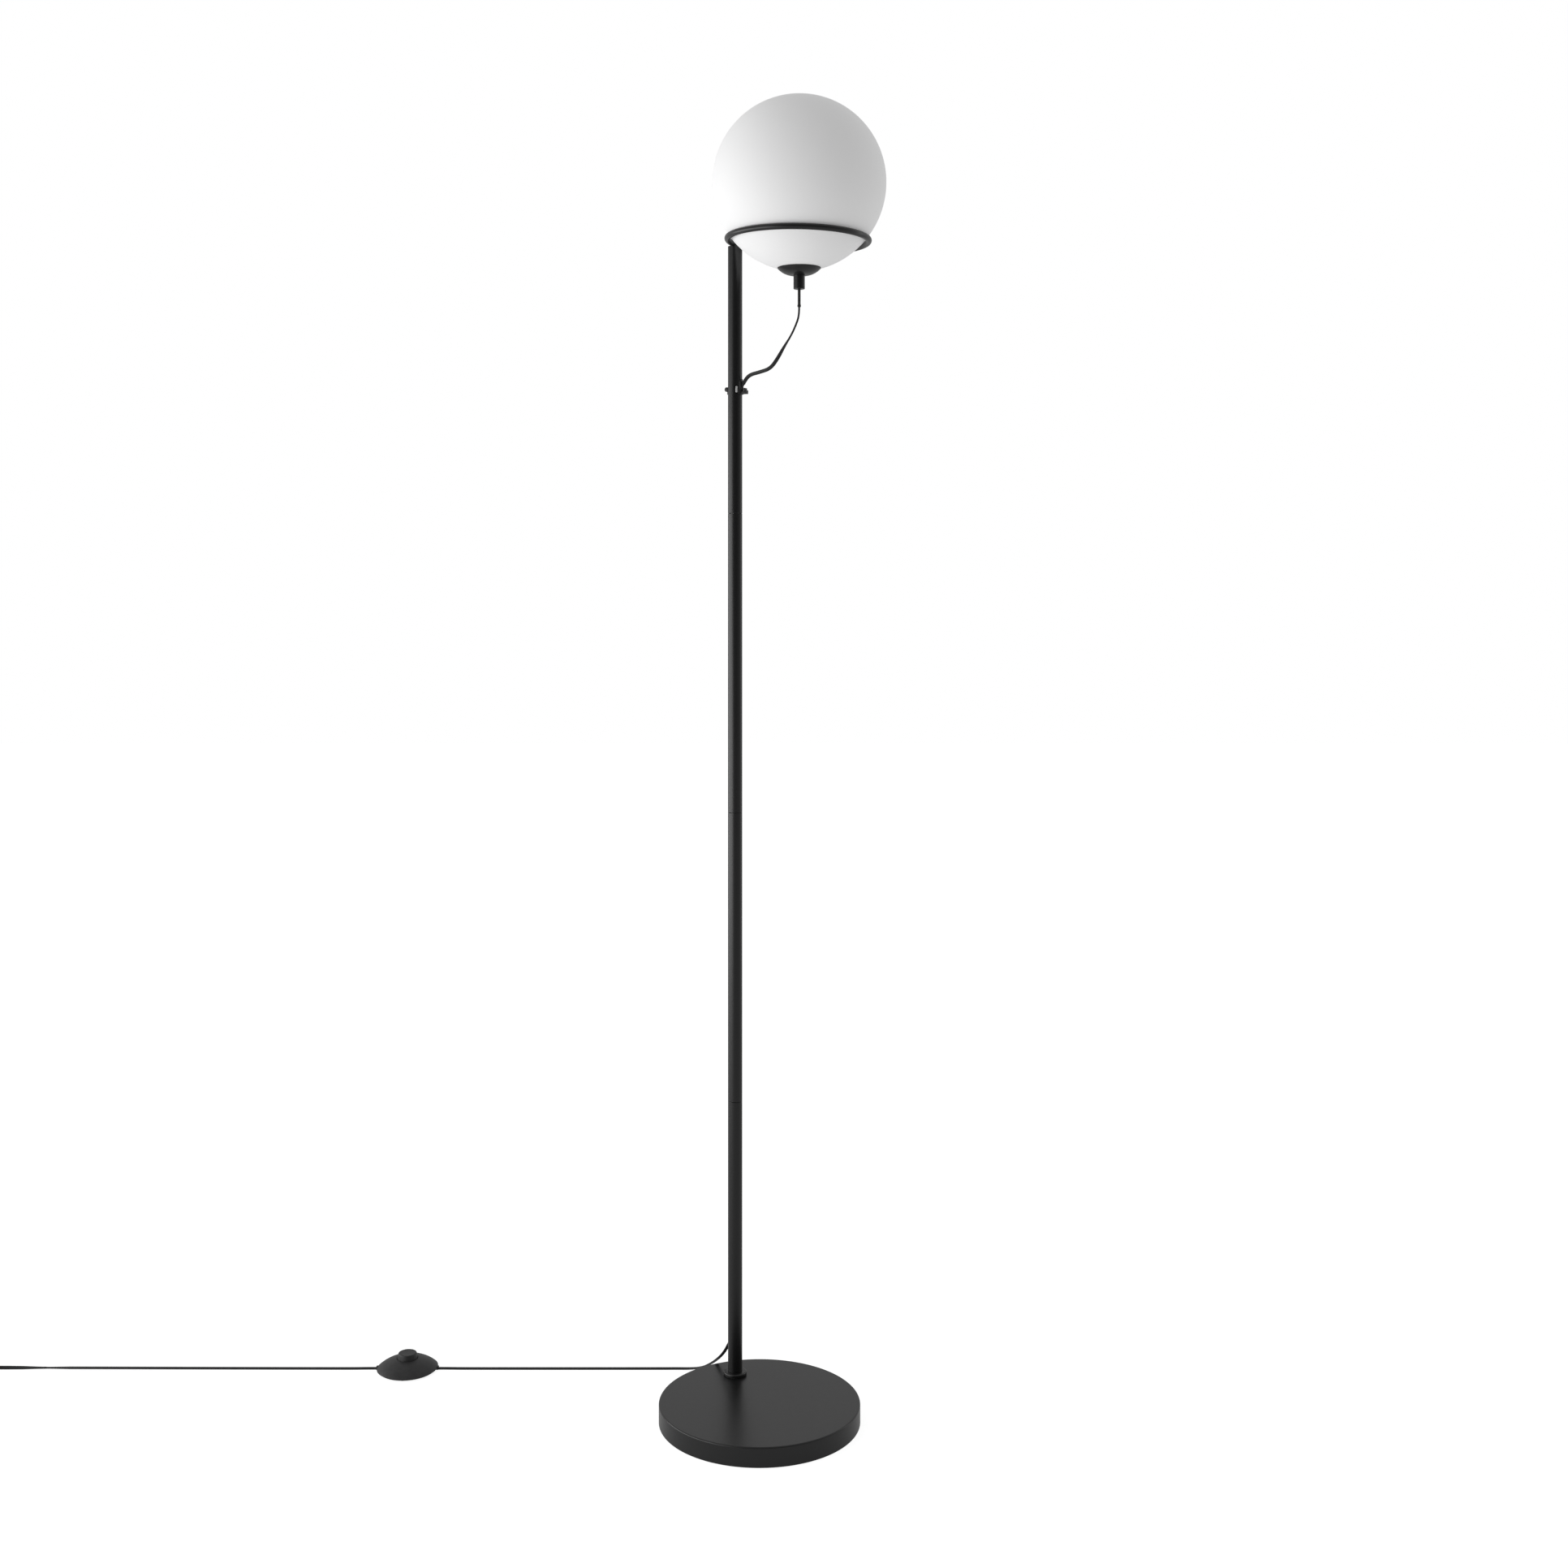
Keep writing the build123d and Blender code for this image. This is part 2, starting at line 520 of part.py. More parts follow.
# ---------------------------------------------------------------- cord clip and grommets
pole_outside = POLE_RADIUS + CLIP_FIT
clip_top = CLIP_LOW + CLIP_HEIGHT
foot_top = CLIP_LOW + CLIP_FOOT_HEIGHT
clip = tube(pole_outside + CLIP_WALL, pole_outside, CLIP_LOW, clip_top)
clip &= Pos(0, POLE_DIAMETER / 2, (CLIP_LOW + clip_top) / 2) * Box(
    2 * POLE_DIAMETER, POLE_DIAMETER, CLIP_HEIGHT)
clip -= Pos(CLIP_OPEN, 0, foot_top) * Box(
    POLE_DIAMETER, 2 * POLE_DIAMETER, CLIP_HEIGHT, align=(Align.MIN, Align.CENTER, Align.MIN))
foot_bar = Pos(CLIP_FOOT_REACH / 2, 0, CLIP_LOW + CLIP_FOOT_HEIGHT / 2) * Box(
    CLIP_FOOT_REACH, CLIP_WIDTH, CLIP_FOOT_HEIGHT)
lip = Pos(CLIP_LIP_START + CLIP_LIP / 2, 0, foot_top + CLIP_LIP_HEIGHT / 2) * Box(
    CLIP_LIP, CLIP_WIDTH, CLIP_LIP_HEIGHT)
lug = Pos(-CLIP_LUG_REACH / 2, 0, lug_middle) * Box(CLIP_LUG_REACH, CLIP_LUG_WIDTH, CLIP_LUG_HEIGHT)
clip = clip + foot_bar + lip + lug
clip -= rod(pole_outside, CLIP_LOW - 1, clip_top + 1)
clip -= clip_screw_hole
save("cord_clip", pole_frame * clip)
head_radius, head_height = CLIP_SCREW_HEAD[0] / 2, CLIP_SCREW_HEAD[1]
screw = rod(head_radius, CLIP_LUG_REACH, CLIP_LUG_REACH + head_height)
screw += rod(CLIP_SCREW / 2, POLE_BORE - 1, CLIP_LUG_REACH)
save("clip_screw", pole_frame * Pos(0, 0, lug_middle) * Rotation(0, -90, 0) * screw)

slot_plug = shell_patch(
    SLOT_PLUG_WIDTH, SLOT_PLUG_HEIGHT, front_top, POLE_BORE, POLE_RADIUS + SLOT_PLUG_PROUD)
save("slot_plug", pole_frame * front_turn * slot_plug)


def grommet(height, top, flange_low):
    """Plastic bush in a pole slot, with a flange round it on the outside."""
    body = shell_patch(SLOT_WIDTH - slot_gap, height - slot_gap, top - SLOT_CLEARANCE,
                       POLE_BORE - FLANGE_WALL, POLE_RADIUS)
    margin = (FLANGE_WIDTH - SLOT_WIDTH) / 2
    flange = shell_patch(FLANGE_WIDTH, height + 2 * margin, top + margin,
                         POLE_RADIUS, POLE_RADIUS + FLANGE_WALL)
    flange &= rod(POLE_DIAMETER, flange_low, top + 2 * margin)
    return body + flange


def tunnel(points):
    """The space that a cord needs along its route."""
    path, _ = bend_path(points)
    return sweep(Plane(origin=path @ 0, z_dir=path % 0) * Circle(CORD_RADIUS + CORD_CLEARANCE), path=path)


entry_run = unit(Vector(*inner_route[1]) - Vector(*entry))
entry_tunnel = tunnel([tuple(Vector(*entry) - entry_run * 4), *inner_route[1:4]])
upper_grommet = pole_frame * grommet(SLOT_HEIGHT, SLOT_TOP, foot_top + SLOT_CLEARANCE)
save("upper_grommet", upper_grommet - entry_tunnel)
exit_tunnel = tunnel([*inner_route[-3:-1], tuple(exit_start + exit_fall * 4)])
lower_grommet = pole_frame * exit_turn * grommet(EXIT_SLOT_HEIGHT, exit_slot_top, 0)
save("lower_grommet", lower_grommet - exit_tunnel)

# ---------------------------------------------------------------- glass and what it screws on
gx, gy, gz = globe
glass = Sphere(GLOBE_DIAMETER / 2) - Sphere(GLOBE_DIAMETER / 2 - GLASS_WALL)
mouth_radius = GLASS_MOUTH_DIAMETER / 2
glass -= rod(mouth_radius, -GLOBE_DIAMETER, 0)
save("glass_globe", Location(globe) * glass)
hub_radius = HUB_DIAMETER / 2
hub_top = gz - HUB_TOP
save("glass_collar", tube(mouth_radius, hub_radius + COLLAR_FIT, globe_bottom, hub_top, gx, gy))

# ---------------------------------------------------------------- cap, stem and lampholder
cap_radius = CAP_DIAMETER / 2
stem_radius = STEM_DIAMETER / 2


def cap_arc(inset):
    """The dish's outline from its rim to the stem, set in by a wall."""
    rim = Vector(cap_radius - inset, 0, cap_rim)
    low = Vector(stem_radius, 0, cap_bottom + inset)
    fall = low - rim
    outwards = unit(Vector(-fall.Z, 0, fall.X))
    return ThreePointArc(rim, (rim + low) * 0.5 + outwards * CAP_BULGE, low)


outer_arc, inner_arc = cap_arc(0), cap_arc(CAP_WALL)
bore = STEM_BORE / 2
cap_outline = [
    outer_arc,
    Line(outer_arc @ 1, (thread_hole, 0, cap_bottom)),
    Line((thread_hole, 0, cap_bottom), (thread_hole, 0, cap_bottom + CAP_WALL)),
    Line((thread_hole, 0, cap_bottom + CAP_WALL), inner_arc @ 1),
    inner_arc,
    Line(inner_arc @ 0, outer_arc @ 0),
]
save("dome_cap", Pos(gx, gy, 0) * revolve(make_face(cap_outline), Axis.Z))
gasket = tube(cap_radius, cap_radius - GASKET_WIDTH, cap_rim, cap_rim + 2 * CAP_GAP, gx, gy)
save("cap_gasket", gasket - Location(globe) * Sphere(GLOBE_DIAMETER / 2 + GASKET_GAP))

hub_low = cap_bottom + CAP_WALL
floor_low = hub_low + HUB_STEP
floor_top = floor_low + HUB_FLOOR
holder_low = floor_top + STEM_NUT_HEIGHT
stem = turned([
    (bore, stem_bottom), (stem_radius, stem_bottom), (stem_radius, cap_bottom),
    (stud_radius, cap_bottom), (stud_radius, holder_low), (bore, holder_low),
], gx, gy)
save("stem", stem)
hub = turned([
    (thread_hole, hub_low), (stem_radius, hub_low), (stem_radius, floor_low), (hub_radius, floor_low),
    (hub_radius, hub_top), (hub_radius - HUB_WALL, hub_top), (hub_radius - HUB_WALL, floor_top),
    (thread_hole, floor_top),
], gx, gy)
screw_places = [Pos(gx + side * HOLDER_SCREW_OFFSET, gy, 0) for side in (-1, 1)]
screw_radius = HOLDER_SCREW / 2
for place in screw_places:
    hub -= place * rod(screw_radius + THREAD_CLEARANCE, hub_low, floor_top)
save("holder_hub", hub)
stem_nut = hexagon(STEM_DIAMETER, floor_top, holder_low, gx, gy)
save("stem_nut", stem_nut - rod(thread_hole, floor_top, holder_low, gx, gy))

holder_top = holder_low + HOLDER_HEIGHT
holder = rod(HOLDER_DIAMETER / 2, holder_low, holder_top, gx, gy)
slot_low = holder_top - HOLDER_SLOT_DEPTH
contacts = []
slot_wide, slot_deep = HOLDER_SLOT
for side in (-1, 1):
    slot_place = Pos(gx, gy + side * PIN_SPACING / 2, 0)
    holder -= slot_place * Pos(0, 0, slot_low + HOLDER_SLOT_DEPTH / 2) * Box(
        slot_deep, slot_wide, HOLDER_SLOT_DEPTH)
    contact_y = side * (slot_wide - CONTACT_WALL) / 2
    contacts.append(slot_place * Pos(0, contact_y, slot_low + PIN_LENGTH / 2) * Box(
        slot_deep - 1, CONTACT_WALL, PIN_LENGTH))
screw_low = floor_low - HOLDER_SCREW_HEAD[1]
screw_high = floor_low + HOLDER_SCREW_LENGTH
screws = []
for place in screw_places:
    holder -= place * rod(screw_radius + THREAD_CLEARANCE, holder_low, screw_high + 1)
    shank = rod(screw_radius, floor_low, screw_high)
    screws.append(place * (shank + rod(HOLDER_SCREW_HEAD[0] / 2, screw_low, floor_low)))
save("lampholder", holder)
save("holder_contacts", Compound(contacts))
save("holder_screws", Compound(screws))


def flat_bar(width, thickness, low, high):
    """Upright bar with a round-ended section, its wide side along Y."""
    return Pos(gx, gy, low) * extrude(SlotOverall(width, thickness, rotation=90), high - low)


sleeve_top = stem_bottom + SLEEVE_GRIP
flex_space = 2 * GRIP_CLEARANCE
sleeve = flat_bar(SLEEVE_WIDTH, SLEEVE_THICKNESS, sleeve_bottom, sleeve_top)
sleeve -= flat_bar(FLEX_WIDTH + flex_space, FLEX_THICKNESS + flex_space, sleeve_bottom, sleeve_top)
save("cord_sleeve", sleeve)
grip = rod(bore - GRIP_CLEARANCE, stem_bottom, sleeve_top, gx, gy)
grip -= flat_bar(SLEEVE_WIDTH + flex_space, SLEEVE_THICKNESS + flex_space, stem_bottom, sleeve_top)
save("cord_grip", grip)
save("head_lead", flat_bar(FLEX_WIDTH, FLEX_THICKNESS, sleeve_bottom, holder_low))

# ---------------------------------------------------------------- bulb
base_low = holder_top + BULB_GAP
base_top = base_low + BULB_BASE_HEIGHT
bulb_base = Pos(gx, gy, (base_low + base_top) / 2) * Box(BULB_BASE_DEPTH, BULB_BASE_WIDTH, BULB_BASE_HEIGHT)
save("bulb_base", fillet(bulb_base.edges().filter_by(Axis.Z), 1.5))
bulb_radius = BULB_DIAMETER / 2
bulb = rod(bulb_radius, base_top, base_low + BULB_LENGTH - bulb_radius, gx, gy)
bulb += Pos(gx, gy, base_low + BULB_LENGTH - bulb_radius) * Sphere(bulb_radius)
bulb -= rod(2 * bulb_radius, base_low, base_top, gx, gy)
save("bulb_envelope", bulb)
pin_wall, pin_width = PIN_SIZE
pins = [
    Pos(gx, gy + side * PIN_SPACING / 2, base_low - PIN_LENGTH / 2) * Box(pin_width, pin_wall, PIN_LENGTH)
    for side in (-1, 1)
]
save("bulb_pins", Compound(pins))

# ---------------------------------------------------------------- foot switch, in its own frame
switch_place = Pos(SWITCH_X, SWITCH_Y, 0)
switch_radius = SWITCH_DIAMETER / 2
button_low_radius = BUTTON_LOW_DIAMETER / 2
hole_radius = button_low_radius + RUNNING_GAP


def dome_arc(inset):
    """The dome's outline from its rim to the button's hole, set in by a wall."""
    return ThreePointArc(
        (switch_radius - inset, 0, SWITCH_RIM_HEIGHT),
        (SWITCH_MID_DIAMETER / 2 - inset / 3, 0, SWITCH_MID_HEIGHT - inset),
        (hole_radius, 0, SWITCH_TOP_HEIGHT - inset),
    )


outside, inside = dome_arc(0), dome_arc(SWITCH_WALL)
lip_outer = switch_radius - SWITCH_UNDERCUT
lip_inner = lip_outer - SWITCH_LIP
dome_outline = [
    Line((lip_outer, 0, SWITCH_FOOT_HEIGHT), outside @ 0),
    outside,
    Line(outside @ 1, inside @ 1),
    inside,
    Line(inside @ 0, (lip_inner, 0, SWITCH_FOOT_HEIGHT)),
    Line((lip_inner, 0, SWITCH_FOOT_HEIGHT), (lip_outer, 0, SWITCH_FOOT_HEIGHT)),
]
housing = revolve(make_face(dome_outline), Axis.Z)
plate_top = SWITCH_FOOT_HEIGHT + SWITCH_PLATE_WALL
screw_turns = [Rotation(0, 0, turn) * Pos(SCREW_RING, 0, 0) for turn in (90, 210, 330)]
foot_turns = [Rotation(0, 0, turn) * Pos(SCREW_RING, 0, 0) for turn in (30, 150, 270)]
switch_screw = SWITCH_SCREW / 2
screw_head = SWITCH_SCREW_HEAD[0] / 2
head_top = SWITCH_FOOT_HEIGHT + SWITCH_SCREW_HEAD[1]
for place in screw_turns:
    housing += place * rod(BOSS_DIAMETER / 2, plate_top, plate_top + BOSS_HEIGHT)
    housing -= place * rod(switch_screw + THREAD_CLEARANCE, plate_top, plate_top + BOSS_HEIGHT - 1)
notch_top = SWITCH_CORD_HEIGHT + NOTCH_RISE
notch = Pos(0, 0, (SWITCH_FOOT_HEIGHT + notch_top) / 2) * Box(
    2 * SWITCH_DIAMETER, CHANNEL_WIDTH, notch_top - SWITCH_FOOT_HEIGHT)
housing -= notch
save("switch_housing", switch_place * housing)

plate_radius = lip_inner - RUNNING_GAP
plate = rod(plate_radius, SWITCH_FOOT_HEIGHT, plate_top)
gland_inner = gland_face - GLAND_LENGTH
channel_length = GLAND_LENGTH + CHANNEL_RUN
glands = []
leads = []
for side in (-1, 1):
    reach = side * (gland_inner + gland_face) / 2
    channel = Pos(side * (gland_face - channel_length / 2), 0, plate_top / 2) * Box(
        channel_length, CHANNEL_WIDTH, plate_top)
    plate -= channel
    nose_top = notch_top - SLOT_CLEARANCE
    nose = Pos(reach, 0, (NOSE_LIFT + nose_top) / 2) * Box(
        GLAND_LENGTH, CHANNEL_WIDTH - slot_gap, nose_top - NOSE_LIFT)
    block = Pos(side * (gland_inner + GLAND_BLOCK / 2), 0, plate_top + GLAND_HEIGHT / 2) * Box(
        GLAND_BLOCK, GLAND_WIDTH, GLAND_HEIGHT)
    along_x = Rotation(0, 90, 0)
    passage = Pos(0, 0, SWITCH_CORD_HEIGHT) * along_x * Cylinder(CORD_RADIUS + THREAD_CLEARANCE, 2 * SWITCH_DIAMETER)
    glands.append(nose + block - passage)
    lead = Pos(reach, 0, SWITCH_CORD_HEIGHT) * along_x * Cylinder(CORD_RADIUS, GLAND_LENGTH)
    leads.append(lead)
for place in screw_turns:
    plate -= place * rod(switch_screw + SCREW_CLEARANCE, SWITCH_FOOT_HEIGHT, plate_top)
    plate -= place * rod(screw_head + SCREW_CLEARANCE, SWITCH_FOOT_HEIGHT, head_top)
save("switch_base_plate", switch_place * plate)
save("switch_glands", switch_place * Compound(glands))
save("switch_leads", switch_place * Compound(leads))
save("switch_feet", switch_place * Compound(
    [place * rod(SWITCH_FOOT_DIAMETER / 2, 0, SWITCH_FOOT_HEIGHT) for place in foot_turns]))
screw_top = plate_top + BOSS_HEIGHT - 2
housing_screw = rod(switch_screw, head_top, screw_top) + rod(screw_head, SWITCH_FOOT_HEIGHT, head_top)
save("switch_screws", switch_place * Compound([place * housing_screw for place in screw_turns]))

button_bore = BUTTON_TOP_DIAMETER / 2 - BUTTON_WALL
flange_top = SWITCH_TOP_HEIGHT - SWITCH_WALL - 2 * RUNNING_GAP
flange_low = flange_top - BUTTON_FLANGE_HEIGHT
roof = BUTTON_TOP_HEIGHT - BUTTON_WALL
button = turned([
    (button_bore, flange_low), (button_low_radius + BUTTON_FLANGE, flange_low),
    (button_low_radius + BUTTON_FLANGE, flange_top), (button_low_radius, flange_top),
    (button_low_radius, SWITCH_TOP_HEIGHT), (BUTTON_TOP_DIAMETER / 2, BUTTON_TOP_HEIGHT),
    (0, BUTTON_TOP_HEIGHT), (0, roof), (button_bore, roof),
])
button = fillet(button.edges().sort_by(Axis.Z)[-1], BUTTON_EDGE_RADIUS)
save("switch_button", switch_place * button)
block_long, block_wide, block_high = BLOCK_SIZE
block_top = plate_top + block_high
plunger_low = block_top - PLUNGER_GRIP
plunger_radius = PLUNGER_DIAMETER / 2
block = Pos(0, 0, plate_top + block_high / 2) * Box(block_long, block_wide, block_high)
block -= rod(plunger_radius + RUNNING_GAP, plunger_low - BUTTON_TRAVEL - RUNNING_GAP, block_top)
save("switch_block", switch_place * block)
save("switch_plunger", switch_place * rod(plunger_radius, plunger_low, roof))
spring_height = roof - block_top - SPRING_WIRE
spring_line = Helix(spring_height / SPRING_TURNS, spring_height, SPRING_DIAMETER / 2)
spring_low = block_top + SPRING_WIRE / 2
spring_section = Plane(origin=spring_line @ 0, z_dir=spring_line % 0) * Circle(SPRING_WIRE / 2)
spring = Pos(0, 0, spring_low) * sweep(spring_section, path=spring_line, is_frenet=True)
save("button_spring", switch_place * spring)
terminal_x, terminal_y = TERMINAL_PLACE
term_long, term_wide, term_high = TERMINAL_SIZE
terminals = []
wires = []
for sx in (-1, 1):
    for sy in (-1, 1):
        spot = Pos(sx * terminal_x, sy * terminal_y, 0)
        terminals.append(spot * Pos(0, 0, plate_top + term_high / 2) * Box(term_long, term_wide, term_high))
        wire_start = sx * (terminal_x + term_long / 2)
        wire_height = plate_top + term_high / 2
        wire_path, _ = bend_path([
            (wire_start, sy * terminal_y, wire_height),
            (wire_start + sx * TERMINAL_CLEAR, sy * terminal_y, wire_height),
            (sx * (gland_inner - TERMINAL_CLEAR), sy * WIRE_SPREAD, SWITCH_CORD_HEIGHT),
            (sx * gland_inner, sy * WIRE_SPREAD, SWITCH_CORD_HEIGHT),
        ])
        section = Plane(origin=wire_path @ 0, z_dir=wire_path % 0) * Circle(WIRE_DIAMETER / 2)
        wires.append(sweep(section, path=wire_path))
save("switch_terminals", switch_place * Compound(terminals))
save("switch_wires", switch_place * Compound(wires))

# ---------------------------------------------------------------- plug beside the coil, pointing along -Y
plug_place = Location(coil_end) * Rotation(90, 0, 0)
relief_wide, relief_thin = RELIEF_DIAMETERS[0] / 2, RELIEF_DIAMETERS[1] / 2
relief = Cone(relief_thin, relief_wide, RELIEF_LENGTH, align=(Align.CENTER, Align.CENTER, Align.MIN))
for rib in range(RELIEF_RIBS):
    height = RELIEF_LENGTH * (rib + 1) / (RELIEF_RIBS + 1.5)
    cut = relief_thin + (relief_wide - relief_thin) * height / RELIEF_LENGTH
    relief -= Pos(0, 0, height) * (Cylinder(2 * relief_wide, 1.4) - Cylinder(cut - 0.7, 1.4))
save("plug_relief", plug_place * relief)
half_width, half_tip = PLUG_WIDTH / 2, PLUG_TIP_WIDTH / 2
plug_outline = Polyline(
    (-half_tip, 0), (half_tip, 0), (half_width, PLUG_SHOULDER), (half_width, PLUG_LENGTH),
    (-half_width, PLUG_LENGTH), (-half_width, PLUG_SHOULDER), close=True)
plug = extrude(make_face(plug_outline), PLUG_HEIGHT / 2, both=True)
plug = fillet(plug.edges().filter_by(Axis.Z), PLUG_EDGE_RADIUS)
plug = fillet(plug.edges().filter_by(Axis.Z, reverse=True), PLUG_EDGE_RADIUS / 2)
body_place = Location(coil_end) * Pos(0, -RELIEF_LENGTH, 0) * Rotation(0, 0, 180)
plug_pins = []
for side in (-1, 1):
    pin = Rotation(-90, 0, 0) * rod(
        PLUG_PIN_DIAMETER / 2, PLUG_LENGTH - PLUG_PIN_GRIP, PLUG_LENGTH + PLUG_PIN_LENGTH)
    pin = Pos(side * PLUG_PIN_SPACING / 2, 0, 0) * pin
    plug -= pin
    plug_pins.append(body_place * fillet(pin.edges().sort_by(Axis.Y)[-1], 1.2))
save("plug_body", body_place * plug)
save("plug_pins", Compound(plug_pins))
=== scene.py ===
import bpy
import bmesh
import json
from math import radians, pi, sin, cos, sqrt, acos, tan, atan2
from mathutils import Vector, Matrix


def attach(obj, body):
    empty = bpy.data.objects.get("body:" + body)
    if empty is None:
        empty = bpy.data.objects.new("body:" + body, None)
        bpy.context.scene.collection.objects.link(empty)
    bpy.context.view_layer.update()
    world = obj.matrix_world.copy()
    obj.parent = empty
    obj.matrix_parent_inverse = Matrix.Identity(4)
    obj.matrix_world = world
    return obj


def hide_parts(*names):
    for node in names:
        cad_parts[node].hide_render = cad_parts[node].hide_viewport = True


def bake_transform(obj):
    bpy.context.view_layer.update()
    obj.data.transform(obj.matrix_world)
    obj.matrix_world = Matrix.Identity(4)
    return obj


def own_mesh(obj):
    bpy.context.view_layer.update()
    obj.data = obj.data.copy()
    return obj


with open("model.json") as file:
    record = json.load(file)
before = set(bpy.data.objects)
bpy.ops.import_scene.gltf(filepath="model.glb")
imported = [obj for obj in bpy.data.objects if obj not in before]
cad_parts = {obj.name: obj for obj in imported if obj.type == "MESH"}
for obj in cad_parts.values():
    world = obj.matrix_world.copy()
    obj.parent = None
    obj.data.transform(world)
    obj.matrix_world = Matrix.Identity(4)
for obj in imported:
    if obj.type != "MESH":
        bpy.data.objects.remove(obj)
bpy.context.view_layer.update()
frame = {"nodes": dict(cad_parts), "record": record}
nodes = frame["nodes"]
mm = 0.001
print("frame loaded,", len(nodes), "nodes")

# camera first, so every later render is framed like the photograph
camera = {"x": 0.0057, "y": -2.081, "z": 0.941, "lens": 42.28, "sensor": 36.0, "shiftX": 0.0124, "shiftY": -0.1251}
cameraData = bpy.data.cameras.new("studioCamera")
cameraData.lens = camera["lens"]
cameraData.sensor_width = camera["sensor"]
cameraData.shift_x = camera["shiftX"]
cameraData.shift_y = camera["shiftY"]
cameraData.clip_start = 0.05
cameraObject = bpy.data.objects.new("studioCamera", cameraData)
cameraObject.location = (camera["x"], camera["y"], camera["z"])
cameraObject.rotation_euler = (radians(90), 0, 0)       # level, looking along +Y
bpy.context.scene.collection.objects.link(cameraObject)
bpy.context.scene.camera = cameraObject
bpy.context.scene.view_settings.view_transform = "Standard"


# small tools for meshes
def addPiece(name, mesh, sharpOver=38):
    mesh.shade_smooth()
    mesh.set_sharp_from_angle(angle=radians(sharpOver))
    piece = bpy.data.objects.new(name, mesh)
    bpy.context.scene.collection.objects.link(piece)
    return piece


def meshFrom(name, bm):
    bmesh.ops.recalc_face_normals(bm, faces=bm.faces)
    mesh = bpy.data.meshes.new(name)
    bm.to_mesh(mesh)
    bm.free()
    return mesh


def roundedOutline(corners, closed=True, steps=5):
    # corners are (radius, height, rounding), all in mm; each rounded corner gets an arc with a holding edge beside it
    points = []
    count = len(corners)
    for i, (r, z, rounding) in enumerate(corners):
        here = Vector((r, z))
        atEnd = not closed and i in (0, count - 1)
        if rounding <= 0 or atEnd:
            points.append(here * mm)
            continue
        back = (Vector(corners[i - 1][:2]) - here).normalized()
        ahead = (Vector(corners[(i + 1) % count][:2]) - here).normalized()
        angle = back.angle(ahead)
        reach = rounding / tan(angle / 2)
        middle = here + (back + ahead).normalized() * rounding / sin(angle / 2)
        first, last = here + back * reach, here + ahead * reach
        startTurn = atan2(*(first - middle).yx)
        sweep = (atan2(*(last - middle).yx) - startTurn + pi) % (2 * pi) - pi
        points.append((first + back * rounding * 0.25) * mm)
        for k in range(steps + 1):
            turn = startTurn + sweep * k / steps
            points.append((middle + Vector((cos(turn), sin(turn))) * rounding) * mm)
        points.append((last + ahead * rounding * 0.25) * mm)
    return points


def turnedPiece(name, outline, centre=(0, 0), around=96, sharpOver=38):
    # outline is (radius, height) in metres, spun round an upright line through centre in mm
    bm = bmesh.new()
    cx, cy = centre[0] * mm, centre[1] * mm
    rings = []
    for r, z in outline:
        if r < 1e-7:
            rings.append([bm.verts.new((cx, cy, z))])
        else:
            rings.append([bm.verts.new((cx + r * cos(2 * pi * i / around), cy + r * sin(2 * pi * i / around), z))
                          for i in range(around)])
    for a, b in zip(rings, rings[1:] + rings[:1]):
        for i in range(around):
            j = (i + 1) % around
            if len(a) == 1 and len(b) == 1:
                break
            if len(a) == 1:
                bm.faces.new((a[0], b[i], b[j]))
            elif len(b) == 1:
                bm.faces.new((a[i], a[j], b[0]))
            else:
                bm.faces.new((a[i], a[j], b[j], b[i]))
    return addPiece(name, meshFrom(name, bm), sharpOver)


def sweptMesh(name, sections, capped=True):
    # sections holds one list of points for each point of the line
    bm = bmesh.new()
    rings = [[bm.verts.new(p) for p in section] for section in sections]
    size = len(rings[0])
    for a, b in zip(rings, rings[1:]):
        for i in range(size):
            j = (i + 1) % size
            bm.faces.new((a[i], a[j], b[j], b[i]))
    if capped:
        bm.faces.new(rings[0][::-1])
        bm.faces.new(rings[-1])
    return meshFrom(name, bm)


def place(piece, body, slot, *replaced):
    # no body: the piece is left unattached, for one that runs between two bodies
    if body:
        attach(piece, body)
    if replaced:
        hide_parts(*replaced)
    piece.data.materials.clear()
    piece.data.materials.append(finishes[slot])
    return piece


# finishes, with small tools for their nodes
def feed(tree, value, socket):
    if isinstance(value, bpy.types.NodeSocket):
        tree.links.new(value, socket)
    else:
        socket.default_value = value


def calc(tree, operation, *values):
    node = tree.nodes.new("ShaderNodeMath")
    node.operation = operation
    for k, value in enumerate(values):
        feed(tree, value, node.inputs[k])
    return node.outputs[0]


def ranged(tree, source, fromRange=(0, 1), toRange=(0, 1)):
    node = tree.nodes.new("ShaderNodeMapRange")
    for socket, value in zip(("From Min", "From Max", "To Min", "To Max"), (*fromRange, *toRange)):
        node.inputs[socket].default_value = value
    tree.links.new(source, node.inputs["Value"])
    return node.outputs[0]


def mixed(tree, factor, first, second, isColour=False):
    node = tree.nodes.new("ShaderNodeMix")
    node.data_type = "RGBA" if isColour else "FLOAT"
    feed(tree, factor, node.inputs["Factor"])
    for k, value in zip((6, 7) if isColour else (2, 3), (first, second)):
        feed(tree, value, node.inputs[k])
    return node.outputs[2 if isColour else 0]


def objectNoise(tree, scale, detail):
    where, noise = tree.nodes.new("ShaderNodeTexCoord"), tree.nodes.new("ShaderNodeTexNoise")
    tree.links.new(where.outputs["Object"], noise.inputs["Vector"])
    feed(tree, scale, noise.inputs["Scale"])
    noise.inputs["Detail"].default_value = detail
    return noise.outputs["Fac"]


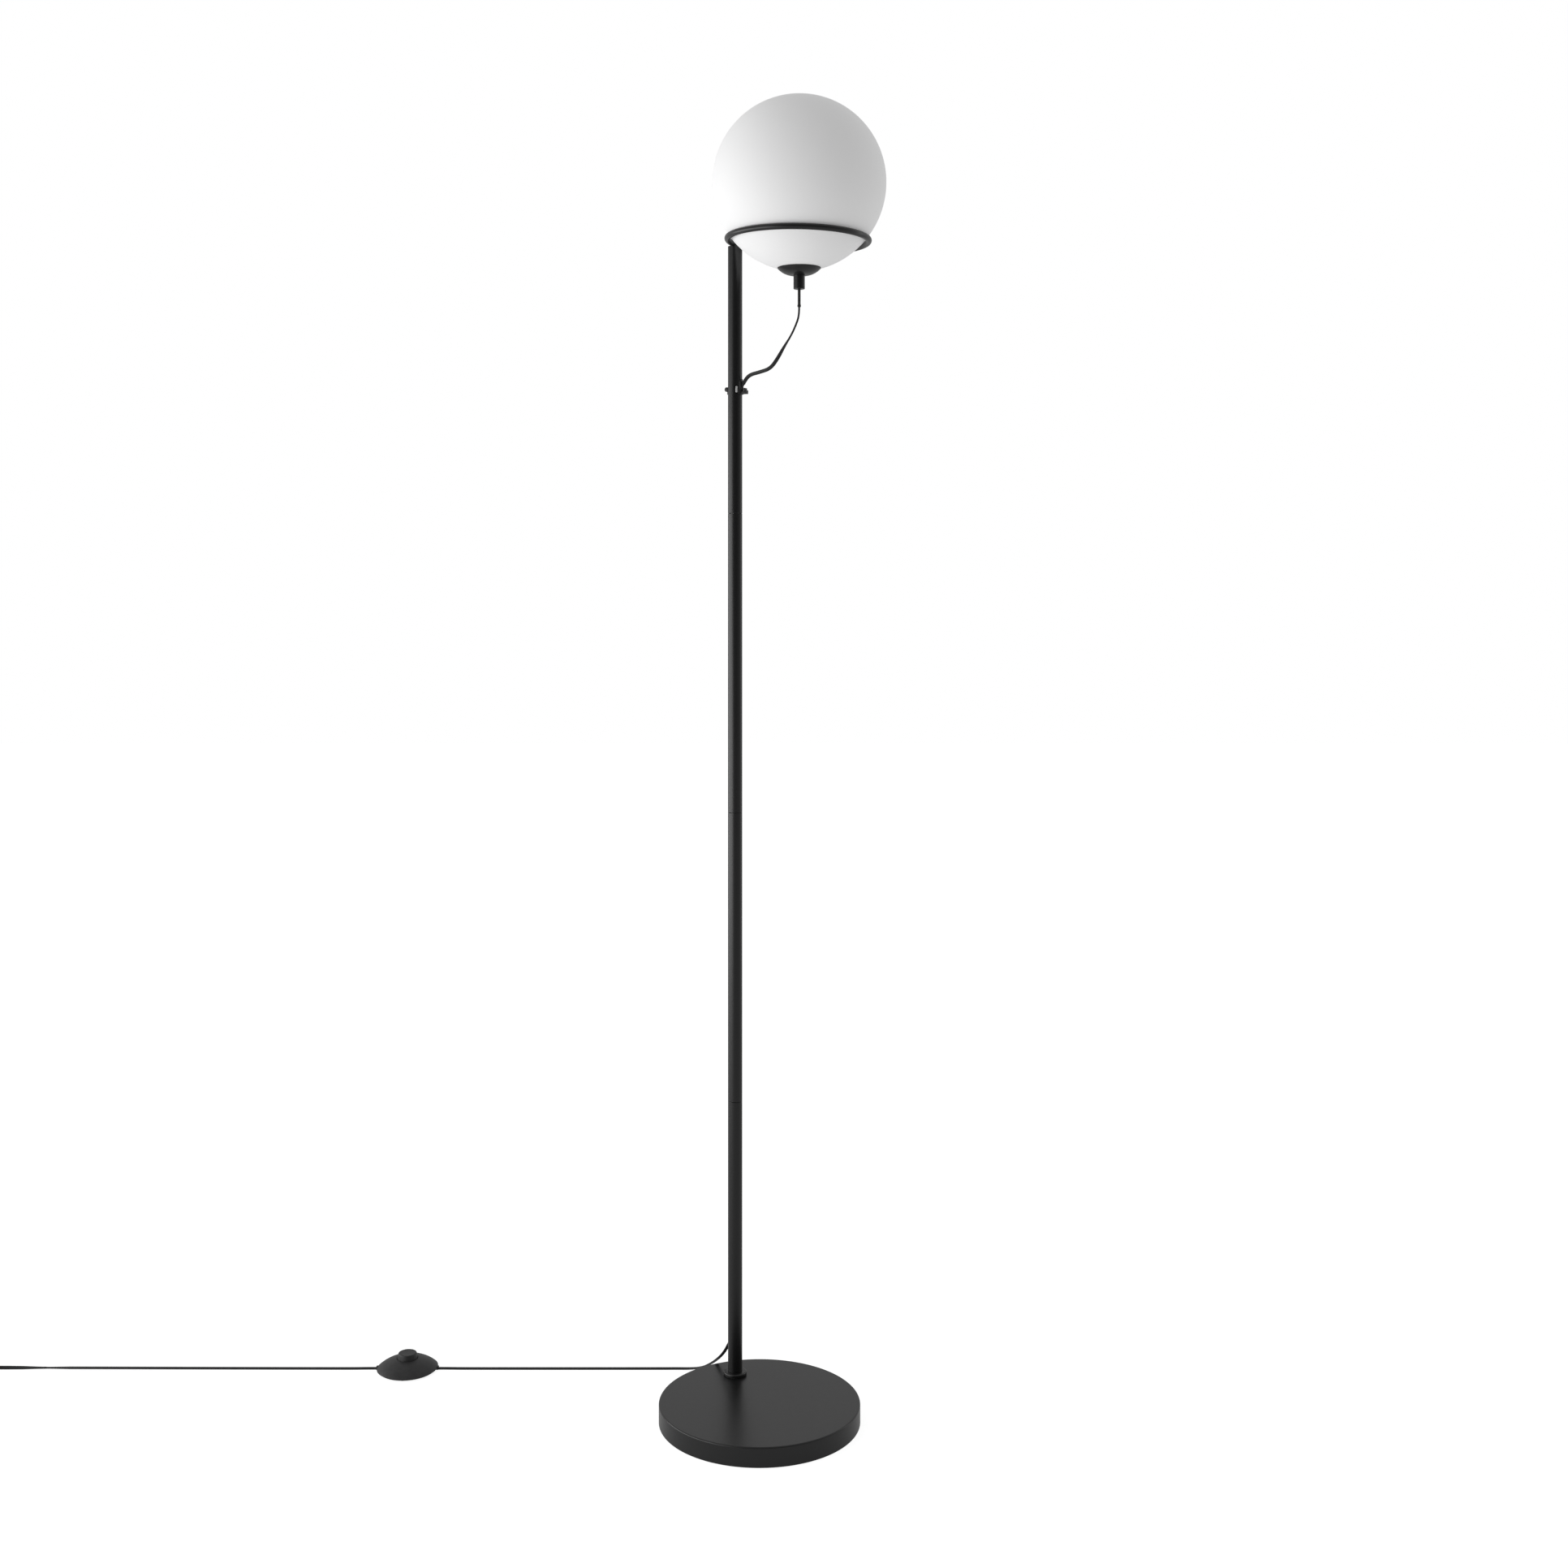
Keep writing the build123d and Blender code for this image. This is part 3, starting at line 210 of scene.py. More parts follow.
def startGroup(name, given, returned):
    group = bpy.data.node_groups.new(name, "ShaderNodeTree")
    for socket, value in given:
        made = group.interface.new_socket(name=socket, in_out="INPUT", socket_type="NodeSocketFloat")
        made.default_value = value
    for socket in returned:
        group.interface.new_socket(name=socket, in_out="OUTPUT", socket_type="NodeSocketFloat")
    return group, group.links.new, group.nodes.new("NodeGroupInput"), group.nodes.new("NodeGroupOutput")


def grainGroup():
    group, link, inside, outside = startGroup(
        "fineGrain", (("Coarse Size", 0.002), ("Fine Size", 0.0005), ("Fine Share", 0.5)), ("Height", "Drift"))
    coarse, fine = [objectNoise(group, calc(group, "DIVIDE", 1.0, inside.outputs[socket]), detail)
                    for socket, detail in (("Coarse Size", 2.0), ("Fine Size", 3.0))]
    link(mixed(group, inside.outputs["Fine Share"], coarse, fine), outside.inputs["Height"])
    link(objectNoise(group, 9.0, 3.0), outside.inputs["Drift"])
    return group


def dustGroup():
    group, link, inside, outside = startGroup("restingDust", (("Amount", 0.1),), ("Mask",))
    facing, split = group.nodes.new("ShaderNodeNewGeometry"), group.nodes.new("ShaderNodeSeparateXYZ")
    link(facing.outputs["Normal"], split.inputs[0])
    lying = calc(group, "MULTIPLY", ranged(group, split.outputs["Z"], (0.35, 1.0)),
                 ranged(group, objectNoise(group, 140.0, 5.0), (0.4, 0.7)))
    link(calc(group, "MULTIPLY", lying, inside.outputs["Amount"]), outside.inputs["Mask"])
    return group


fineGrain = grainGroup()
restingDust = dustGroup()


def makeFinish(name, look):
    # look: colour, second colour it drifts to, roughness range, grain sizes and depth, dust
    material = bpy.data.materials.new(name)
    material.use_nodes = True
    tree = material.node_tree
    shader = tree.nodes["Principled BSDF"]
    shader.inputs["Metallic"].default_value = look.get("metal", 0.0)
    shader.inputs["IOR"].default_value = 1.5
    shader.inputs["Specular IOR Level"].default_value = look.get("specular", 0.5)
    shader.inputs["Emission Color"].default_value = (1, 1, 1, 1)
    shader.inputs["Emission Strength"].default_value = look.get("paintedGlow", 0.0)   # painted glow: an even emission that stands in for light scattered through a pale wall
    grain = tree.nodes.new("ShaderNodeGroup")
    grain.node_tree = fineGrain
    for socket, value in zip(("Coarse Size", "Fine Size", "Fine Share"), look["grain"]):
        grain.inputs[socket].default_value = value
    colour = mixed(tree, grain.outputs["Drift"], (*look["colour"], 1), (*look["drift"], 1), True)
    if look.get("dust"):
        dust = tree.nodes.new("ShaderNodeGroup")
        dust.node_tree = restingDust
        dust.inputs["Amount"].default_value = look["dust"]
        colour = mixed(tree, dust.outputs["Mask"], colour, (*dustColour, 1), True)
    tree.links.new(colour, shader.inputs["Base Color"])
    tree.links.new(ranged(tree, grain.outputs["Height"], (0, 1), look["rough"]), shader.inputs["Roughness"])
    bump = tree.nodes.new("ShaderNodeBump")
    bump.inputs["Strength"].default_value = look.get("bump", 0.3)
    bump.inputs["Distance"].default_value = look["depth"]
    tree.links.new(grain.outputs["Height"], bump.inputs["Height"])
    tree.links.new(bump.outputs[0], shader.inputs["Normal"])
    return material


dustColour = (0.35, 0.34, 0.33)
looks = {
    "powder_coat": {"colour": (0.0065, 0.0065, 0.0068), "drift": (0.0085, 0.0085, 0.0088), "rough": (0.25, 0.36),
                    "grain": (0.0016, 0.0005, 0.45), "depth": 0.00012, "bump": 0.3, "dust": 0.008},
    "black_plastic": {"colour": (0.011, 0.011, 0.0115), "drift": (0.015, 0.015, 0.0155), "rough": (0.40, 0.55),
                      "grain": (0.0011, 0.00035, 0.6), "depth": 0.0001, "bump": 0.35, "dust": 0.03},
    "flex": {"colour": (0.007, 0.007, 0.0075), "drift": (0.010, 0.010, 0.0105), "rough": (0.36, 0.48),
             "grain": (0.003, 0.0008, 0.3), "depth": 0.00006, "dust": 0.02},
    "black_rubber": {"colour": (0.012, 0.012, 0.012), "drift": (0.018, 0.018, 0.018), "rough": (0.62, 0.8),
                     "grain": (0.0014, 0.0004, 0.5), "depth": 0.0001},
    "pad": {"colour": (0.025, 0.025, 0.026), "drift": (0.045, 0.045, 0.046), "rough": (0.85, 0.97),
            "grain": (0.0022, 0.0007, 0.6), "depth": 0.0004, "bump": 0.6},
    "iron": {"colour": (0.09, 0.09, 0.092), "drift": (0.14, 0.135, 0.13), "rough": (0.55, 0.8), "metal": 0.6,
             "grain": (0.004, 0.0012, 0.5), "depth": 0.0004, "bump": 0.5},
    "steel": {"colour": (0.52, 0.52, 0.51), "drift": (0.62, 0.62, 0.60), "rough": (0.28, 0.42), "metal": 1.0,
              "grain": (0.003, 0.0004, 0.6), "depth": 0.00005},
    "black_screw": {"colour": (0.020, 0.020, 0.022), "drift": (0.03, 0.03, 0.032), "rough": (0.3, 0.42),
                    "grain": (0.001, 0.0003, 0.5), "depth": 0.00004},
    # grey_plastic is pale so that the slot bung shows a painted highlight
    "grey_plastic": {"colour": (0.62, 0.62, 0.62), "drift": (0.67, 0.67, 0.67), "rough": (0.25, 0.38),
                     "grain": (0.001, 0.0004, 0.5), "depth": 0.00004},
    "ceramic": {"colour": (0.80, 0.79, 0.75), "drift": (0.86, 0.85, 0.82), "rough": (0.5, 0.68),
                "grain": (0.003, 0.0008, 0.4), "depth": 0.0001},
    "brass": {"colour": (0.66, 0.49, 0.22), "drift": (0.74, 0.57, 0.27), "rough": (0.22, 0.36), "metal": 1.0,
              "grain": (0.003, 0.0004, 0.5), "depth": 0.00004},
    # the opal glass gets a painted glow: an emission that brightens it though the lamp is unlit
    "opal_glass": {"colour": (0.90, 0.90, 0.905), "drift": (0.915, 0.915, 0.915), "rough": (0.58, 0.66),
                   "grain": (0.02, 0.004, 0.2), "depth": 0.00002, "bump": 0.1, "specular": 0.2, "paintedGlow": 0.15},
    "frosted_bulb": {"colour": (0.86, 0.86, 0.84), "drift": (0.9, 0.9, 0.88), "rough": (0.4, 0.5),
                     "grain": (0.002, 0.0005, 0.4), "depth": 0.00003},
    "white_plastic": {"colour": (0.80, 0.80, 0.78), "drift": (0.84, 0.84, 0.82), "rough": (0.35, 0.5),
                      "grain": (0.001, 0.0004, 0.5), "depth": 0.00005},
}
finishes = {slot: makeFinish(slot, look) for slot, look in looks.items()}
for row in frame["record"]["subparts"]:
    cadMesh = nodes[row["node"]].data
    cadMesh.materials.clear()
    cadMesh.materials.append(finishes[row["material_slot"]])
print("finishes made:", len(finishes))

# where the main forms stand, in mm, as in the solids
pole = {"x": -28.7, "y": 70.2, "radius": 8.35, "top": 1339.5, "foot": 26.8, "seams": (0.2401, 0.4968, 0.7627)}
ring = {"radius": 81.05, "wire": 3.6, "turn": -25.9, "height": 1340.8, "droop": 1.1,
        "play": 0.02, "around": 192, "wireAround": 32}
towardX, towardY = cos(radians(ring["turn"])), sin(radians(ring["turn"]))
ringX, ringY = pole["x"] + towardX * ring["radius"], pole["y"] + towardY * ring["radius"]
globe = {"radius": 100.0, "wall": 3.0, "mouth": 17.0, "gap": 0.3}
seatHeight = sqrt((globe["radius"] + globe["gap"] + ring["wire"]) ** 2 - ring["radius"] ** 2)
globeX = ringX + sin(radians(ring["droop"])) * seatHeight
globeY = ringY
globeZ = ring["height"] + cos(radians(ring["droop"])) * seatHeight


def besidePole(u, z, v=0.0):
    # u towards the globe, v away from the camera, from the pole's axis
    return (pole["x"] + towardX * u - towardY * v, pole["y"] + towardY * u + towardX * v, z)


# cords: flat twin flex that follows its own NURBS line
flex = {"width": 4.4, "thick": 2.3, "groove": 0.1, "around": 20}
switch = {"x": -424.1, "y": 136.0, "radius": 36.4, "cordHeight": 1.5, "glands": 1.2}
glandFace = switch["radius"] + switch["glands"]
below = {"capRadius": 25.0, "capGap": 0.9, "cap": 8.1, "stem": 15.8, "sleeve": 20.7}     # what hangs under the glass
capRim = globeZ - sqrt(globe["radius"] ** 2 - below["capRadius"] ** 2) - below["capGap"]
capBottom = capRim - below["cap"]
stemBottom = capBottom - below["stem"]
sleeveBottom = stemBottom - below["sleeve"]
entry = {"reach": 10.6, "height": 1178.6, "straight": 9.5}
# the loop's corners: shares of the way out and up from the slot in the pole to the sleeve
globeLoop = ((0.961, 0.759), (0.869, 0.615), (0.747, 0.476), (0.622, 0.311),
             (0.497, 0.190), (0.302, 0.150), (0.132, 0.124), (0.048, 0.068))
globeRoute = [(globeX, globeY, sleeveBottom), (globeX, globeY, sleeveBottom - entry["straight"])]
for out, up in globeLoop:
    globeRoute.append(besidePole(entry["reach"] + (ring["radius"] - entry["reach"]) * out,
                                 entry["height"] + (sleeveBottom - entry["height"]) * up))
globeRoute.append(besidePole(entry["reach"], entry["height"]))

leaving = {"turn": 120.0, "height": 60.0, "straight": 11.0, "out": 0.62, "down": 0.785, "proud": 0.9}
exitTurn = radians(leaving["turn"])
exitSide = Vector((cos(exitTurn), sin(exitTurn), 0))
exitStart = Vector((pole["x"], pole["y"], leaving["height"])) + exitSide * (pole["radius"] + leaving["proud"])
exitFall = exitSide * leaving["out"] - Vector((0, 0, leaving["down"]))
landing = {"x": -117.0, "lift": 1.2}
# corners on the way to the floor: shares of the way across, back and up
landingBend = ((0.0884, 0.2215, 0.69), (0.1541, 0.3426, 0.53), (0.2497, 0.5329, 0.3483), (0.3572, 0.7232, 0.1917),
               (0.4648, 0.8789, 0.0817), (0.6069, 0.9654, 0.0333), (0.7838, 0.9983, 0.0225))
floorRoute = [tuple(exitStart), tuple(exitStart + exitFall * leaving["straight"])]
for across, back, up in landingBend:
    floorRoute.append((exitStart.x + (landing["x"] - exitStart.x) * across,
                       exitStart.y + (switch["y"] - exitStart.y) * back, leaving["height"] * up))
floorRoute.append((landing["x"], switch["y"], landing["lift"]))
# the cord rises to the switch, passes it and comes down again
risings = ((32.0, landing["lift"]), (12.0, switch["cordHeight"]), (0.0, switch["cordHeight"]))
for side in (1, -1):
    for away, height in risings[::side]:
        floorRoute.append((switch["x"] + side * (glandFace + away), switch["y"], height))
coil = {"x": -946.0, "radius": 31.0, "pitch": 3.85, "halfTurns": 6,
        "low": 2.25, "high": 6.85, "perHalf": 8, "fit": 1.012, "leadIn": 40, "toPlug": 3.4}
coilY = switch["y"]
side = -1
floorRoute.append((coil["x"] + coil["leadIn"], coilY, coil["low"]))
for half in range(2 * coil["halfTurns"]):
    step = min(half, 2 * coil["halfTurns"] - half)
    radius = coil["radius"] - step * coil["pitch"] / 2
    middleY = coilY + side * radius
    for k in range(coil["perHalf"]):
        turn = pi * k / coil["perHalf"]
        if half > coil["halfTurns"]:
            height = coil["high"]
        elif half == coil["halfTurns"]:
            height = coil["low"] + (coil["high"] - coil["low"]) * k / coil["perHalf"]
        else:
            height = coil["low"]
        floorRoute.append((coil["x"] + side * radius * sin(turn) * coil["fit"],
                           middleY - side * radius * cos(turn) * coil["fit"], height))
    coilY += side * 2 * radius
    side = -side
coilEnd = (coil["x"] - coil["radius"], coilY + side * coil["radius"], coil["high"])
for turn in (0, 22.5, 45, 67.5, 90):
    floorRoute.append((coil["x"] - coil["radius"] * sin(radians(turn)),
                       coilEnd[1] - side * coil["radius"] * cos(radians(turn)), coil["high"]))
plugStart = (coilEnd[0], coilEnd[1] - coil["toPlug"], coilEnd[2])
floorRoute.append(plugStart)


def routeLine(points, smoothness=8):
    curve = bpy.data.curves.new("route", "CURVE")
    curve.dimensions = "3D"
    spline = curve.splines.new("NURBS")
    spline.points.add(len(points) - 1)
    for point, xyz in zip(spline.points, points):
        point.co = (xyz[0] * mm, xyz[1] * mm, xyz[2] * mm, 1)
    spline.order_u = 3
    spline.use_endpoint_u = True
    spline.resolution_u = smoothness
    guide = bpy.data.objects.new("route", curve)
    bpy.context.scene.collection.objects.link(guide)
    evaluated = guide.evaluated_get(bpy.context.evaluated_depsgraph_get())
    drawn = bpy.data.meshes.new_from_object(evaluated)
    line = [v.co.copy() for v in drawn.vertices]
    bpy.data.objects.remove(guide)
    bpy.data.meshes.remove(drawn)
    kept = [line[0]]
    for p in line[1:]:
        if (p - kept[-1]).length > 1e-5:
            kept.append(p)
    return kept


def alongLine(line):
    lengths = [0.0]
    for a, b in zip(line, line[1:]):
        lengths.append(lengths[-1] + (b - a).length)
    return lengths


def twinFlex(name, line, startWide, twists):
    # twists: (from, to, degrees) along the length in metres; startWide is the wide way at the first point
    lengths = alongLine(line)
    straights, half = (flex["width"] - flex["thick"]) / 2 * mm, flex["thick"] / 2 * mm
    outline = []
    for k in range(flex["around"]):
        turn = 2 * pi * (k + 0.5) / flex["around"]
        a, b = cos(turn) * half, sin(turn) * half
        a += straights if a > 0 else -straights
        outline.append((a, b))
    outline.insert(flex["around"] // 4, (0, half - flex["groove"] * mm))
    outline.insert(3 * flex["around"] // 4 + 1, (0, -half + flex["groove"] * mm))
    wide = Vector(startWide)
    sections = []
    for i, p in enumerate(line):
        before, after = line[max(i - 1, 0)], line[min(i + 1, len(line) - 1)]
        along = (after - before).normalized()
        wide = (wide - along * wide.dot(along)).normalized()
        thin = along.cross(wide)
        turn = 0.0
        for start, end, angle in twists:
            t = min(max((lengths[i] - start) / (end - start), 0.0), 1.0)
            turn += radians(angle) * t * t * (3 - 2 * t)
        w = wide * cos(turn) + thin * sin(turn)
        h = thin * cos(turn) - wide * sin(turn)
        sections.append([p + w * a + h * b for a, b in outline])
    return addPiece(name, sweptMesh(name, sections), 60), lengths[-1]


globeLine = routeLine(globeRoute, 10)
globeTwist = (0.035, 0.075, 90)
globeLead, globeLength = twinFlex("globeLead", globeLine, (0, 1, 0), [globeTwist])
floorLine = routeLine(floorRoute, 8)
floorLengths = alongLine(floorLine)
coilEntry = next(s for p, s in zip(floorLine, floorLengths) if p.x < (coil["x"] + 45) * mm)
exitWide = Vector((-exitSide.y, exitSide.x, 0))
layFlat = -18.8       # turns the cord's flat side down once it is on the floor
floorLead, floorLength = twinFlex("floorLead", floorLine, exitWide,
                                  [(0.04, 0.12, layFlat), (coilEntry - 0.07, coilEntry, 90)])
print("cords made: globe", round(globeLength, 4), "floor", round(floorLength, 4))

place(globeLead, None, "flex", "globe_lead")
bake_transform(globeLead)
place(floorLead, "stand", "flex", "pole_lead", "plug_lead", "plug_lead_coil", "switch_leads")

# base: weighted disc with a powder-coated cover
base = {"radius": 113.7, "top": 22.4, "rim": 0.5, "edge": 1.6, "wall": 1.2}
cover = [(0, base["top"], 0), (base["radius"], base["top"], base["edge"]), (base["radius"], base["rim"], 0.4),
         (base["radius"] - base["wall"], base["rim"], 0.3),
         (base["radius"] - base["wall"], base["top"] - base["wall"], 0), (0, base["top"] - base["wall"], 0)]
baseCover = turnedPiece("baseCover", roundedOutline(cover, steps=7), around=256)
place(baseCover, "stand", "powder_coat", "base_cover")
poleAt = (pole["x"], pole["y"])
collar = {"radius": 13.5, "low": 23.2, "high": 26.8, "bore": 5.3, "washer": 12.7}
footCollar = turnedPiece("footCollar", roundedOutline([
    (collar["bore"], collar["low"], 0), (collar["radius"], collar["low"], 0.35),
    (collar["radius"], collar["high"], 1.5), (collar["bore"], collar["high"], 0)]), poleAt, 96)
place(footCollar, "stand", "powder_coat", "foot_collar")
footWasher = turnedPiece("footWasher", roundedOutline([
    (collar["bore"], base["top"], 0), (collar["washer"], base["top"], 0.2), (collar["washer"], collar["low"], 0.2),
    (collar["bore"], collar["low"], 0)]), poleAt, 72)
place(footWasher, "stand", "black_rubber", "foot_washer")
print("base made")

# pole: four tubes that screw together, with a fine broken edge at each seam
poleLength = pole["top"] - pole["foot"]
levels = [pole["foot"]] + [pole["foot"] + poleLength * share for share in pole["seams"]] + [pole["top"]]
seam = {"gap": 0.25, "edge": 0.3, "wall": 1.2}
slots = {
    "entry": {"section": 4, "turn": ring["turn"], "width": 6.0, "height": 16.0, "top": 1183.4},
    "front": {"section": 4, "turn": -76.5, "width": 4.2, "height": 9.4, "top": 1176.9},
    "exit": {"section": 1, "turn": leaving["turn"], "width": 6.0, "height": 13.0, "top": 67.5},
}
cutting = {"inside": 3.5, "outside": 4, "around": 24}


def slotCutter(slot):
    # a round-ended bar that reaches from inside the pole out through its wall
    straight = (slot["height"] - slot["width"]) / 2
    turnBy = Matrix.Rotation(radians(slot["turn"]), 4, "Z")
    sections = []
    for reach in (pole["radius"] - cutting["inside"], pole["radius"] + cutting["outside"]):
        section = []
        for k in range(cutting["around"]):
            turn = 2 * pi * (k + 0.5) / cutting["around"]
            up = sin(turn) * slot["width"] / 2 + (straight if k < cutting["around"] / 2 else -straight)
            spot = turnBy @ Vector((reach, cos(turn) * slot["width"] / 2, slot["top"] - slot["height"] / 2 + up))
            section.append((spot + Vector((pole["x"], pole["y"], 0))) * mm)
        sections.append(section)
    return addPiece("slotCutter", sweptMesh("slotCutter", sections))


def cutAway(piece, cutters):
    # boolean cuts, kept as a plain mesh; the cutters go
    for cutter in cutters:
        cut = piece.modifiers.new("cut", "BOOLEAN")
        cut.object = cutter
        cut.operation = "DIFFERENCE"
        cut.solver = "EXACT"
    result = bpy.data.meshes.new_from_object(piece.evaluated_get(bpy.context.evaluated_depsgraph_get()))
    piece.modifiers.clear()
    piece.data = result
    piece.data.shade_smooth()
    piece.data.set_sharp_from_angle(angle=radians(32))
    for cutter in cutters:
        bpy.data.objects.remove(cutter)
    return piece


def roundCutter(name, radius, wire=None):
    # a ball where the glass sits, or with wire a torus where the ring passes
    bm = bmesh.new()
    if wire is None:
        bmesh.ops.create_uvsphere(bm, u_segments=128, v_segments=64, radius=radius * mm)
        bm.transform(Matrix.Translation(Vector((globeX, globeY, globeZ)) * mm))
    else:
        rings = []
        for i in range(160):
            a = 2 * pi * i / 160
            rings.append([bm.verts.new(((radius + wire * cos(2 * pi * k / 24)) * cos(a) * mm,
                                        (radius + wire * cos(2 * pi * k / 24)) * sin(a) * mm,
                                        wire * sin(2 * pi * k / 24) * mm)) for k in range(24)])
        for i in range(160):
            here, after = rings[i], rings[(i + 1) % 160]
            for k in range(24):
                bm.faces.new((here[k], after[k], after[(k + 1) % 24], here[(k + 1) % 24]))
        bm.transform(Matrix.Translation(Vector((ringX, ringY, ring["height"])) * mm)
                     @ Matrix.Rotation(radians(ring["droop"]), 4, "Y"))
    return addPiece(name, meshFrom(name, bm))


tubes = len(levels) - 1
for number, (low, high) in enumerate(zip(levels, levels[1:]), 1):
    top = high - (seam["gap"] if number < tubes else 0)
    inner = pole["radius"] - seam["wall"]
    topEdge = seam["edge"] if number < tubes else 0
    tube = turnedPiece("poleTube" + str(number), roundedOutline([
        (inner, low, 0), (pole["radius"], low, seam["edge"]), (pole["radius"], top, topEdge), (inner, top, 0)],
        steps=3), poleAt, 72)
    cutters = [slotCutter(slot) for slot in slots.values() if slot["section"] == number]
    if number == tubes:
        cutters += [roundCutter("glassRoom", globe["radius"] + 2 * globe["gap"]),
                    roundCutter("wireRoom", ring["radius"], ring["wire"] + ring["play"])]
    if cutters:
        cutAway(tube, cutters)
    place(tube, "stand", "powder_coat", "pole_section_" + str(number))
print("pole made")

# support ring, drawn by Geometry Nodes: a wire swept round a tilted circle
def startTree(name, sockets):
    # a Geometry Nodes tree with these named inputs and one for its finish
    tree = bpy.data.node_groups.new(name, "GeometryNodeTree")
    for socket, kind, value in (*sockets, ("Finish", "Material", None)):
        made = tree.interface.new_socket(name=socket, in_out="INPUT", socket_type="NodeSocket" + kind)
        if value is not None:
            made.default_value = value
    tree.interface.new_socket(name="Geometry", in_out="OUTPUT", socket_type="NodeSocketGeometry")
    return tree, tree.nodes.new, tree.links.new, tree.nodes.new("NodeGroupInput")


def endTree(add, link, inside, shape, shift, tilt=None):
    # moves the shape into place, makes it real and gives it its finish
    move = add("GeometryNodeTransform")
    link(shape, move.inputs["Geometry"])
    link(inside.outputs[shift], move.inputs["Translation"])
    if tilt:
        link(inside.outputs[tilt], move.inputs["Rotation"])
    real, paint = add("GeometryNodeRealizeInstances"), add("GeometryNodeSetMaterial")
    link(move.outputs[0], real.inputs[0])
    link(real.outputs[0], paint.inputs["Geometry"])
    link(inside.outputs["Finish"], paint.inputs["Material"])
    link(paint.outputs[0], add("NodeGroupOutput").inputs[0])


def wireRingTree():
    tree, add, link, inside = startTree("wireRing", (
        ("Ring Radius", "Float", 0.08), ("Wire Radius", "Float", 0.0036), ("Middle", "Vector", (0, 0, 1)),
        ("Tilt", "Vector", (0, 0, 0))))
    path, wire = add("GeometryNodeCurvePrimitiveCircle"), add("GeometryNodeCurvePrimitiveCircle")
    path.inputs["Resolution"].default_value = ring["around"]
    wire.inputs["Resolution"].default_value = ring["wireAround"]
    link(inside.outputs["Ring Radius"], path.inputs["Radius"])
    link(inside.outputs["Wire Radius"], wire.inputs["Radius"])
    sweep = add("GeometryNodeCurveToMesh")
    link(path.outputs[0], sweep.inputs["Curve"])
    link(wire.outputs[0], sweep.inputs["Profile Curve"])
    endTree(add, link, inside, sweep.outputs[0], "Middle", "Tilt")
    return tree


def drawnByNodes(name, tree, values):
    # runs the tree with these inputs and keeps the result as a plain mesh
    holder = bpy.data.objects.new(name + "Holder", bpy.data.meshes.new(name))
    bpy.context.scene.collection.objects.link(holder)
    modifier = holder.modifiers.new(name, "NODES")
    modifier.node_group = tree
    for item in tree.interface.items_tree:
        if item.in_out == "INPUT" and item.name in values:
            modifier[item.identifier] = values[item.name]
    evaluated = holder.evaluated_get(bpy.context.evaluated_depsgraph_get())
    drawn = bpy.data.meshes.new_from_object(evaluated)
    bpy.data.objects.remove(holder)
    bm = bmesh.new()
    bm.from_mesh(drawn)
    bmesh.ops.remove_doubles(bm, verts=bm.verts, dist=1e-6)
    bpy.data.meshes.remove(drawn)
    return addPiece(name, meshFrom(name, bm))


supportRing = drawnByNodes("supportRing", wireRingTree(), {
    "Ring Radius": ring["radius"] * mm, "Wire Radius": ring["wire"] * mm,
    "Middle": (ringX * mm, ringY * mm, ring["height"] * mm), "Tilt": (0.0, radians(ring["droop"]), 0.0),
    "Finish": finishes["powder_coat"]})
place(supportRing, "stand", "powder_coat", "support_ring")
print("ring made")

# glass globe and the turned pieces of the head below it
arcs = {"outer": 96, "inner": 64}
glassOutline = []
for shell, count in (("outer", arcs["outer"]), ("inner", arcs["inner"])):
    radius = globe["radius"] - (globe["wall"] if shell == "inner" else 0)
    startTurn = -acos(globe["mouth"] / radius)
    for k in range(count + 1):
        turn = startTurn + (pi / 2 - startTurn) * k / count
        if shell == "inner":
            turn = pi / 2 - (pi / 2 - startTurn) * k / count
        glassOutline.append(Vector((max(radius * cos(turn), 0) * mm, (globeZ + radius * sin(turn)) * mm)))
glassOutline[arcs["outer"]].x = 0
glassOutline[arcs["outer"] + 1].x = 0
globeAt = (globeX, globeY)
glassGlobe = turnedPiece("glassGlobe", glassOutline, globeAt, 160)
place(glassGlobe, "glass", "opal_glass", "glass_globe")

cap = {"radius": below["capRadius"], "wall": 1.0, "bulge": 2.2, "stem": 6.55, "thread": 5.05, "steps": 14}


def dishArc(inset):
    rim = Vector((cap["radius"] - inset, capRim))
    low = Vector((cap["stem"], capBottom + inset))
    outwards = Vector((-(low - rim).y, (low - rim).x)).normalized() * -1
    if outwards.x < 0:
        outwards = -outwards
    middle = (rim + low) / 2 + outwards * cap["bulge"]
    points = []
    for k in range(cap["steps"] + 1):
        t = k / cap["steps"]
        control = middle * 2 - (rim + low) / 2
        points.append((rim * (1 - t) ** 2 + control * 2 * t * (1 - t) + low * t * t) * mm)
    return points


dish = dishArc(0) + [Vector((cap["thread"], capBottom)) * mm, Vector((cap["thread"], capBottom + cap["wall"])) * mm]
dish += dishArc(cap["wall"])[::-1]
domeCap = turnedPiece("domeCap", dish, globeAt, 128, 50)
place(domeCap, "head", "powder_coat", "dome_cap")
stem = {"radius": 6.55, "bore": 3.2, "thread": 5.0, "edge": 0.7, "threadLength": 8.6}
holderLow = capBottom + stem["threadLength"]
stemTube = turnedPiece("stemTube", roundedOutline([
    (stem["bore"], stemBottom, 0.3), (stem["radius"], stemBottom, stem["edge"]), (stem["radius"], capBottom, 0.2),
    (stem["thread"], capBottom, 0), (stem["thread"], holderLow, 0), (stem["bore"], holderLow, 0)]), globeAt, 72)
place(stemTube, "head", "powder_coat", "stem")
print("globe and cap made")

